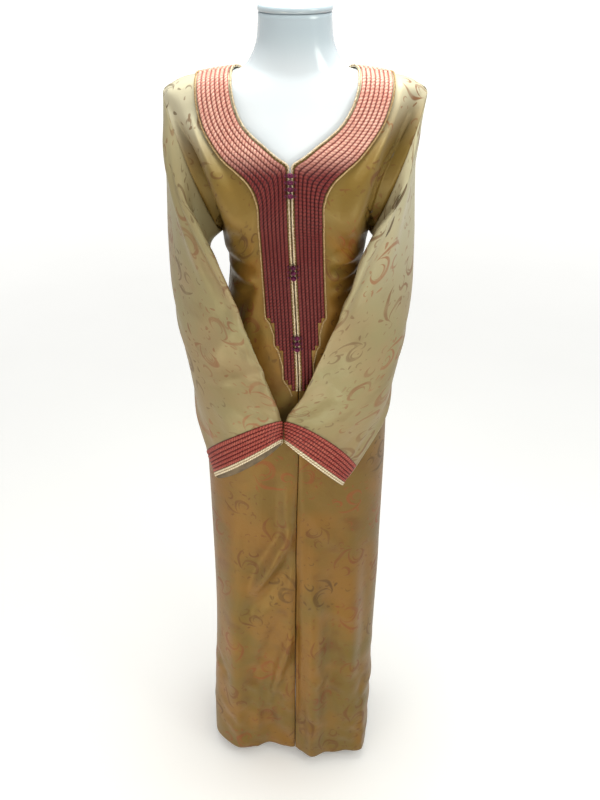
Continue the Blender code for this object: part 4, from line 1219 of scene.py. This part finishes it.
def lining_satin():
    made = Surface("lining_satin", 0.5)
    uv = cloth_place(made)
    cloud = made.noise(uv, 60.0, 3.0).step(0.3, 0.7)
    made.set("Base Color", made.mix(cloud, LINING_DARK, LINING_PALE))
    made.set("Normal", made.bump(made.noise(uv, 1200.0, 1.0), 0.0003, 0.3))
    return made.material


def thread_surface(name, low, top, rough):
    """Silk thread with painted shade between the plies, painted highlight on them, and a lit copy of its
    colours painted on at the shoulders.
    """
    made = Surface(name, rough, IOR=THREAD_IOR)
    ply = made.wire("Attribute", "Fac", attribute_name="ply")
    place = made.wire("TexCoord", "Object")
    fleck = made.noise(place, 420.0, 2.0).step(0.35, 0.68)
    wear_and_glint = made.noise(place, 22.0, 2.0).step(0.3, 0.7)
    # Painted light: the thread's colours turn to a lit copy towards the shoulders
    painted_light_share = painted_light_height_share(made, *BRAID_LIGHT_RISE)
    groove, crest, glint = [made.mix(painted_light_share, a, b) for a, b in zip(low, top)]
    # Painted glint: random flecks of the paler glint colour on the plies
    lit = made.mix(fleck * 0.65 + wear_and_glint * 0.2, crest, glint)
    # Painted shade between the plies and at the cords' sides, read from the ply attribute
    made.set("Base Color", made.mix(ply.step(0.26, 0.92), groove, lit))
    made.set("Normal", made.bump(made.noise(place, 1400.0, 1.0), 0.0004, 0.4))
    return made.material


def cord_surface(name, dark, pale, rough):
    """Twisted thread of one colour with fine variation."""
    made = Surface(name, rough, IOR=THREAD_IOR)
    place = made.wire("TexCoord", "Object")
    fleck = made.noise(place, 380.0, 3.0).step(0.32, 0.68)
    made.set("Base Color", made.mix(fleck, dark, pale))
    made.set("Normal", made.bump(made.noise(place, 1500.0, 1.0), 0.0004, 0.5))
    return made.material


def gloss_white():
    made = Surface("gloss_white", 0.16, Coat_Weight=0.35, Coat_Roughness=0.06)
    place = made.wire("TexCoord", "Object")
    cloud = made.noise(place, 9.0, 3.0)
    colour = made.mix(cloud.step(0.3, 0.7), FORM_SHADE, FORM_WHITE)
    # Painted shade: the neck turns darker and bluer towards its top
    made.set("Base Color", made.mix(painted_light_height_share(made, *NECK_SHADE_RISE), colour, FORM_NECK_SHADE))
    made.set("Normal", made.bump(made.noise(place, 60.0, 2.0), 0.0006, 0.05))
    return made.material


def brushed_steel():
    made = Surface("brushed_steel", 0.3, Metallic=0.95)
    place = made.wire("TexCoord", "Object")
    stretched = made.wire("Mapping", "Vector", Vector=place, Scale=(1.0, 1.0, 40.0))
    grain = made.noise(stretched, 60.0, 3.0)
    made.set("Base Color", made.mix(grain, STEEL_DARK, STEEL_PALE))
    made.set("Roughness", grain * 0.15 + 0.22)
    return made.material


def pale_floor():
    made = Surface("pale_floor", 0.9)
    place = made.wire("TexCoord", "Object")
    colour = made.mix(made.noise(place, 3.0), FLOOR_LOW, FLOOR_HIGH)
    made.set("Base Color", colour)
    made.set("Emission Color", colour)
    distance = made.vector("LENGTH", place, output="Value")
    made.set("Emission Strength", distance.step(0.8, 6.0) * FLOOR_GLOW + FLOOR_BASE)
    return made.material


# Pieces

def edge_fade(rows, columns, last_column=True):
    """A coarse mask that lets folds grow everywhere but along the seams."""
    mask = np.ones((rows, columns))
    mask[0] = 0
    mask[:, -1] = 0
    if not last_column:
        mask[:, 0] = 0
    return mask


def exact_armhole(points, column, side, facing):
    """Sets a panel's edge above the armpit exactly on the armhole."""
    for row in points:
        if ARMPIT.z < row[column, 2] < SHOULDER_TIP:
            row[column] = armhole(row[column, 2], side, facing)


def front_panel(name, side, creases, surface, lining):
    coarse = as_array(front_grid(side))
    mask = edge_fade(*coarse.shape[:2])
    mask[:BAND_ROWS, :TRIM_LINES] = 0
    mask[BAND_ROWS, :TRIM_LINES] = 0.5
    points, mask = fine_grid(coarse, CLOTH_STEP, mask)
    exact_armhole(points, -1, side, -1)
    normals = grid_normals(points, side)
    dents = crumples(np.random.default_rng(20 + side), side)
    points = pushed(points, normals, points[:, :, [0, 2]], creases + dents + placket(), mask)
    points = turned_in(points, normals, side)
    uv = cloth_uv(points, 0) * (side, 1) + (0.9 + 0.7 * side, 0)
    return cloth_object(name, points, uv, surface, lining, flip=side < 0), coarse


def placket():
    """The soft groove where the two fronts meet below the braids."""
    x = [np.interp(z, [row.z for row in CENTRE], [row.x for row in CENTRE]) for z in PLACKET_LEVELS]
    return (Crease(*zip(x, PLACKET_LEVELS), PLACKET_HALF, -PLACKET_DEPTH),)


def crumples(rng, side):
    """Small soft dents and rises of uneven size in the lower skirt."""
    creases = []
    for _ in range(CRUMPLES):
        x, z = side * rng.uniform(0.015, 0.165), HEM + rng.uniform(0.01, 0.40)**1.3
        lean, length = rng.uniform(-0.9, 0.9), rng.uniform(0.016, 0.045)
        start = (x - length * math.sin(lean), z - length * math.cos(lean))
        end = (x + length * math.sin(lean), z + length * math.cos(lean))
        depth = rng.uniform(0.0012, 0.0030) * rng.choice((-1, 1))
        bend = (x + rng.uniform(-0.008, 0.008), z)
        creases.append(Crease(start, bend, end, rng.uniform(0.008, 0.014), depth))
    return tuple(creases)


def turned_in(points, normals, side):
    """Adds the turned-in fold of the centre edge, which closes most of the gap between the fronts."""
    low = smooth((V_POINT - points[:, :1, 2:]) / FOLD_START)
    centre = np.interp(points[:, 0, 2], [row.z for row in CENTRE], [row.x for row in CENTRE])
    gap = np.abs(points[:, 0, 0] - centre)[:, None, None]
    toward = np.array((-side, 0.0, 0.0)) * low
    edge, away = points[:, :1], normals[:, :1]
    lip = edge + toward * (gap - SEAM) * 0.85 - away * LIP_DROP * low
    fold = edge + toward * (gap - SEAM) - away * FOLD_DROP * low
    return np.concatenate([fold, lip, points], axis=1)


def back_panel(creases, surface, lining):
    coarse = as_array(back_grid())
    mask = edge_fade(*coarse.shape[:2], last_column=False)
    mask[:TRIM_LINES] = 0
    points, mask = fine_grid(coarse, CLOTH_STEP, mask)
    exact_armhole(points, 0, 1, 1)
    exact_armhole(points, -1, -1, 1)
    normals = grid_normals(points, 1)
    points = pushed(points, normals, points[:, :, [0, 2]], creases, mask)
    uv = cloth_uv(points, points.shape[1] // 2) + (3.1, 0)
    return cloth_object("back_cloth", points, uv, surface, lining), coarse


def band_lines(coarse, rows, side):
    """The lines that the trims of a front follow, finely spaced, their normals and each row's place."""
    lines, place = finely(coarse[:rows])
    return lines, grid_normals(lines, side), place


def ends_softly(length):
    """Share of a braid's height along its length, which drops at its cut end."""
    return smooth((length[-1] - length) / 0.003 + 0.15)


def front_braids(name, coarse, side, surface):
    lines, normals, place = band_lines(coarse[:, :TRIM_LINES], BAND_ROWS, side)
    strips = []
    for cord in range(CORDS):
        last = max(j for j, row in enumerate(FRONT_ROWS) if row.cords > cord)
        end = place[last] + 1
        low, high = lines[:end, cord + 1], lines[:end, cord + 2]
        scale = ends_softly(arc_lengths((low + high) / 2))
        strips.append(ply_strip(low, high, normals[:end, cord + 1], normals[:end, cord + 2],
                                side * 0.9, scale, cord))
    return braid_object(name, strips, surface, flip=side < 0), (lines, normals, place)


def neck_braids(coarse, surface):
    lines, _ = finely(swapped(coarse[:TRIM_LINES]))
    normals = -grid_normals(lines, 1)
    strips = [ply_strip(lines[:, cord + 1], lines[:, cord + 2], normals[:, cord + 1], normals[:, cord + 2],
                        0.9, 1.0, cord) for cord in range(CORDS)]
    return braid_object("back_neck_plies", strips, surface, flip=True), lines, normals


def on_lines(lines, where):
    """Points at fractional line numbers, one for each row."""
    low = np.minimum(np.floor(where).astype(int), lines.shape[1] - 2)
    share = (where - low)[:, None]
    rows = np.arange(len(lines))
    return lines[rows, low] * (1 - share) + lines[rows, low + 1] * share


def front_trim(band, where_rows, rows):
    """Path and normals of a gold cord on a front, from the shoulder down."""
    lines, normals, place = band
    where = np.interp(np.arange(place[rows] + 1), place[:rows + 1], where_rows[:rows + 1])
    end = len(where)
    path = on_lines(lines[:end], where)
    return path, unit(on_lines(normals[:end], where))


def piping_rows():
    """Which line the piping follows at each row of a front."""
    places = [row.cords + 1 + (0.5 if row.cords == CORDS else 0.36) for row in FRONT_ROWS[:TIP_ROW + 1]]
    return places + [0.4]


def round_the_neck(sides, neck, line):
    """A path and its normals from the left tip, up, round the back neck and down to the right tip."""
    where = np.full(len(neck[0]), line)
    back = [on_lines(values, where) for values in neck]
    joined = [np.concatenate([left[::-1], middle, right])
              for left, middle, right in zip(sides[1], back, sides[0])]
    return resampled(*joined, GOLD_STEP)


def edge_cord(bands, neck, surface):
    """The looped cord along the neck edge and down both centre edges."""
    sides = [front_trim(band, [EDGE_LINE] * BAND_ROWS, TIP_ROW) for band in bands]
    path, away = round_the_neck(sides, neck, EDGE_LINE)
    middle = path + away * (LAID + EDGE_CORE.rise)
    core = plied_cord(middle, away, EDGE_CORE.radius, EDGE_CORE.pitch, 2)
    loops = looped_cord(middle, away, LOOP_REACH, LOOP_PITCH, LOOP_THREAD)
    return tubes_object("edge_loops", core + [loops], surface)


def piping_cord(bands, neck, surface):
    """The piping outside the braids, which ends a little below the tip."""
    sides = []
    for band in bands:
        path, away = front_trim(band, piping_rows(), TIP_ROW + 1)
        place = band[2]
        keep = place[TIP_ROW] + (place[TIP_ROW + 1] - place[TIP_ROW]) // 4
        sides.append((path[:keep], away[:keep]))
    path, away = round_the_neck(sides, neck, CORDS + 1.5)
    middle = path + away * (LAID + PIPING_CORE.rise)
    cord = plied_cord(middle, away, PIPING_CORE.radius, PIPING_CORE.pitch, 2)
    return tubes_object("piping_cord", cord, surface)


def sleeve_rings(table, side):
    """A sleeve's rings, many points round, the cuff band being the last two stretches."""
    middle, half = ARMHOLE_MIDDLE, ARMHOLE_HALF
    away = Vector((half.z, 0, -half.x)).normalized() * SEAM
    turns = np.linspace(0, 2 * np.pi, SLEEVE_ROUND, endpoint=False)
    first = [(side * (middle.x + half.x * math.cos(t) + away.x), -ARMHOLE_DEPTH * math.sin(t),
              middle.z + half.z * math.cos(t) + away.z) for t in turns]
    given = as_array([sleeve_ring(ring, side, SLEEVE_ROUND) for ring in table])
    cuff_edge = given[-1] * (1 - CUFF_EDGE) + given[-2] * CUFF_EDGE
    return np.concatenate([np.array(first)[None], given[:-1], cuff_edge[None], given[-1:]])


def sleeve_place(points):
    """Distance down the sleeve and round it from the overarm fold, for placing folds."""
    down = row_keys(points)
    turn = (np.arange(points.shape[1]) / points.shape[1] + 0.5) % 1 - 0.5
    return np.dstack(np.meshgrid(down, turn * SLEEVE_GIRTH, indexing="ij"))


def cuff_puckers(rng, top, count):
    """Small gathers that run up from the cuff band."""
    creases = []
    for i in range(count):
        round_it = ((i + rng.uniform(0.1, 0.9)) / count - 0.5) * SLEEVE_GIRTH
        length = rng.uniform(0.022, 0.060)
        lean = rng.uniform(-0.010, 0.010)
        depth = rng.uniform(0.0012, 0.0026) * (1 if i % 3 else -1)
        creases.append(Crease((top + 0.012, round_it), (top - length / 2, round_it + lean * 0.3),
                              (top - length, round_it + lean), rng.uniform(0.0040, 0.0070), depth))
    return creases


def sleeve_cloth(name, table, side, creases, seed, surface, lining):
    rings = sleeve_rings(table, side)
    mask = np.ones(rings.shape[:2])
    mask[0] = 0
    mask[-3:] = 0
    points, mask = refined(rings, CLOTH_STEP, False, [mask])
    mask = np.clip(mask, 0, 1)
    place = sleeve_place(points)
    cuff_top = place[-1, 0, 0] - np.sum(gaps(rings)[-2:])
    puckers = cuff_puckers(np.random.default_rng(seed), cuff_top, PUCKERS)
    normals = grid_normals(points, -side, closed=True)
    near_cuff = smooth((cuff_top - place[:, :, 0]) / 0.012 + 0.3)
    points = pushed(points, normals, place, creases, mask, closed=True)
    points = pushed(points, normals, place, puckers, near_cuff, closed=True)
    uv = cloth_uv(points, 0, closed=True) + (5.0 + side, 0.2)
    return cloth_object(name, points, uv, surface, lining, closed=True, flip=side > 0), rings


def closed_fine(line_rows, step):
    """Resamples closed rings of points round their length, rows becoming columns."""
    rings = swapped(line_rows)
    rings = np.concatenate([rings, rings[:1]])
    return refined(rings, step, False)[0][:-1]


def cuff_trims(name, rings, side, braid, gold):
    first = len(rings) - 3
    rows = refine(rings, row_keys(rings), [1] * first + [CUFF_CORDS, 2], False)
    normals = grid_normals(rows, -side, closed=True)
    pieces = []
    for part, start, count, surface, body_slot, height in (
            ("plies", first, CUFF_CORDS, braid, "braid", 1.0),
            ("gold_plies", first + CUFF_CORDS, 2, gold, "gold", 0.8)):
        lines = closed_fine(rows[start:start + count + 1], CORD_STEP)
        away = np.stack([resample_like(normals[start + i], len(lines)) for i in range(count + 1)], axis=1)
        strips = [ply_strip(lines[:, i], lines[:, i + 1], away[:, i], away[:, i + 1], -side * 0.9, height, i)
                  for i in range(count)]
        pieces.append(braid_object(f"cuff_{name}_{part}", strips, surface,
                                   closed=True, flip=side < 0))
    return pieces


def resample_like(normals, count):
    """Normals round a ring at a new count of points."""
    old = np.arange(len(normals) + 1) / len(normals)
    ring = np.concatenate([normals, normals[:1]])
    new = np.arange(count) / count
    made = np.stack([np.interp(new, old, ring[:, axis]) for axis in range(3)], axis=1)
    return unit(made)


def knot_tubes(centre, turn):
    """A cord wound into a ball: over and under round a small core."""
    t = np.linspace(0, 2 * np.pi, 150, endpoint=False)
    longitude = 3 * t + turn
    latitude = 1.02 * np.sin(4 * t)
    radius = BUTTON * (0.70 + 0.06 * np.cos(8 * t + 0.6))
    path = np.stack([np.cos(longitude) * np.cos(latitude), np.sin(longitude) * np.cos(latitude),
                     np.sin(latitude)], axis=1) * radius[:, None]
    core = np.stack([np.zeros(7), np.zeros(7), np.linspace(-0.72, 0.72, 7) * BUTTON], axis=1)
    swell = BUTTON * 0.72 * np.sin(np.linspace(0.25, np.pi - 0.25, 7))
    return [(tube(centre + path, BUTTON * 0.27, 7, closed=True), True),
            (tube(centre + core, swell, 10), False)]


def loop_tubes(spot, out, across):
    """The two cord loops that hold a knot, over the gold cords to the braids at each side."""
    up = np.cross(across, out)
    made = []
    for side in (-1, 1):
        arc = np.linspace(-1, 1, 17)
        bow = np.sqrt(np.clip(1 - arc**2, 0, 1))
        reach_side = KNOT_LOOP.start + KNOT_LOOP.reach * bow
        height = KNOT_LOOP.height - KNOT_LOOP.dip * bow
        path = (spot + across * (side * reach_side)[:, None] + out * height[:, None]
                + up * (arc * KNOT_LOOP.half_width)[:, None])
        made.append((tube(path, KNOT_LOOP.radius, 6), False))
    return made


def knot_buttons(bands, surface):
    edges = [(lines[:, 0], normals[:, 0]) for lines, normals, _ in bands]
    for group, (top_z, count) in enumerate(BUTTON_GROUPS):
        for number in range(count):
            z = top_z - BUTTON_PITCH * number
            spots = []
            for path, away in edges:
                order = np.argsort(path[:, 2])
                spots.append([[np.interp(z, path[order, 2], values[order, axis]) for axis in range(3)]
                              for values in (path, away)])
            spot, out = np.mean(spots, axis=0)
            out /= np.linalg.norm(out)
            across = np.array((1.0, 0.0, 0.0))
            centre = spot + out * BUTTON_LIFT
            tubes = knot_tubes(centre, 0.7 * number) + loop_tubes(spot, out, across)
            name = f"knot_{group + 1}_{number + 1}"
            piece = tubes_object(name, tubes, surface)
            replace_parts(piece, f"button_{group + 1}_{number + 1}")


def form_ring(z, shrink=0.0):
    """One level of the form, as many points round."""
    turns = np.linspace(0, 2 * np.pi, FORM_ROUND, endpoint=False)
    square = along(FORM, "square", z)
    x = np.sign(np.cos(turns)) * np.abs(np.cos(turns))**(2 / square)
    y = np.sign(np.sin(turns)) * np.abs(np.sin(turns))**(2 / square)
    depth = np.where(y > 0, along(FORM, "back", z), along(FORM, "front", z)) - shrink
    half = along(FORM, "half", z) - shrink
    return np.stack([x * half + along(FORM, "middle", z), y * depth, np.full(FORM_ROUND, z)], axis=1)


def dress_form(surface):
    low, high = FORM[0].z, FORM[-1].z
    levels = np.concatenate([np.linspace(low + 0.004, high - 0.0015, FORM_LEVELS), [high]])
    rings = [form_ring(z, 0.0012 if z == high else 0.0) for z in levels]
    rings.insert(0, form_ring(low, 0.004))
    torso = tubes_object("torso_shell", [(np.array(rings), False)], surface)
    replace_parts(torso, "form_torso")
    cap = [form_ring(high, inset) + (0, 0, SEAM + up) for up, inset in CAP_PROFILE]
    lid = tubes_object("neck_lid", [(np.array(cap), False)], surface)
    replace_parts(lid, "form_neck_cap")


def plane_floor():
    mesh = bpy.data.meshes.new("floor")
    half = FLOOR_HALF
    corners = [(-half, -half, 0), (half, -half, 0), (half, half, 0), (-half, half, 0)]
    mesh.from_pydata(corners, [], [(0, 1, 2, 3)])
    mesh.materials.append(pale_floor())
    link(bpy.data.objects.new("floor", mesh))


def area_light(name, place, aim, size, power, colour):
    data = bpy.data.lights.new(name, "AREA")
    data.shape = "DISK"
    data.size = size
    data.energy = power
    data.color = colour
    obj = link(bpy.data.objects.new(name, data))
    obj.location = place
    obj.rotation_euler = (Vector(aim) - Vector(place)).to_track_quat("-Z", "Y").to_euler()


def room_light():
    """A sky that is bright overhead and dark to the sides, over pale walls."""
    world = bpy.data.worlds.new("studio")
    world.use_nodes = True
    tree = world.node_tree
    split = tree.nodes.new("ShaderNodeSeparateXYZ")
    tree.links.new(tree.nodes.new("ShaderNodeTexCoord").outputs["Generated"], split.inputs[0])
    height = Wire(tree, split.outputs["Z"])
    sky = colour_mix(tree, height.math("POWER", SKY_FALL), SKY_EDGE, SKY_TOP)
    room = colour_mix(tree, height.step(*WALL_LEVELS), sky, WALL)
    tree.links.new(room.socket, tree.nodes["Background"].inputs["Color"])
    bpy.context.scene.world = world


def studio():
    plane_floor()
    for light in LIGHTS:
        area_light(*light)
    room_light()
    bpy.context.scene.view_settings.view_transform = "Standard"
    camera = bpy.data.cameras.new("camera")
    camera.lens = CAMERA_LENS
    camera.sensor_width = 36
    eye = link(bpy.data.objects.new("camera", camera))
    eye.location = CAMERA_PLACE
    eye.rotation_euler = (math.radians(CAMERA_TILT), 0, 0)
    bpy.context.scene.camera = eye


def dress_fronts(satin, lining, braid):
    """Both fronts and their braids, and the lines that their gold cords and buttons follow."""
    bands = []
    for name, side, creases in (("right", -1, RIGHT_FRONT_CREASES), ("left", 1, LEFT_FRONT_CREASES)):
        cloth, coarse = front_panel(f"front_{name}_cloth", side, creases, satin, lining)
        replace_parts(cloth, f"front_{name}")
        plies, band = front_braids(f"front_{name}_plies", coarse, side, braid)
        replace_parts(plies, f"braid_front_{name}")
        bands.append(band)
    return bands


def dress_back(satin, lining, braid):
    """The back and its braid, and the lines that its gold cords follow."""
    cloth, coarse = back_panel(BACK_CREASES, satin, lining)
    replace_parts(cloth, "back")
    plies, *neck = neck_braids(coarse, braid)
    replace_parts(plies, "braid_back_neck")
    return neck


def dress_sleeves(satin, lining, braid, cream):
    for name, side, table, creases, seed in (("right", -1, RIGHT_SLEEVE, RIGHT_SLEEVE_CREASES, 5),
                                             ("left", 1, LEFT_SLEEVE, LEFT_SLEEVE_CREASES, 11)):
        cloth, rings = sleeve_cloth(f"sleeve_{name}_cloth", table, side, creases, seed, satin, lining)
        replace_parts(cloth, f"sleeve_{name}")
        plies, edge_plies = cuff_trims(name, rings, side, braid, cream)
        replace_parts(plies, f"cuff_braid_{name}")
        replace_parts(edge_plies, f"cuff_edge_{name}")


def dress():
    satin = brocade_satin("body_satin", BODY_GROUND)
    # The sleeves' satin, with painted sheen in its paler ground
    sleeve_satin_painted_sheen = brocade_satin("sleeve_satin_painted_sheen", SLEEVE_LIT_GROUND)
    lining = lining_satin()
    braid = thread_surface("braid_thread", BRAID_DARK, BRAID_PAINTED_LIT, 0.5)
    cuff_braid = thread_surface("cuff_thread", CUFF_THREAD, CUFF_THREAD, 0.5)
    cream_braid = thread_surface("cream_thread", CREAM, CREAM, 0.5)
    gold = cord_surface("gold_cord", GOLD_MID, GOLD_PALE, 0.5)
    loops = cord_surface("loop_cord", LOOP_MID, LOOP_PALE, 0.5)
    purple = cord_surface("knot_cord", KNOT_DARK, KNOT_PALE, 0.45)
    bands = dress_fronts(satin, lining, braid)
    neck = dress_back(satin, lining, braid)
    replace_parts(edge_cord(bands, neck, loops), "edge_cord")
    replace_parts(piping_cord(bands, neck, gold), "piping")
    knot_buttons(bands, purple)
    dress_sleeves(sleeve_satin_painted_sheen, lining, cuff_braid, cream_braid)
    dress_form(gloss_white())
    steel = brushed_steel()
    for node in ("stand_base", "stand_pole", "stand_collar"):
        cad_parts[node].data.materials.clear()
        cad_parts[node].data.materials.append(steel)


studio()
dress()
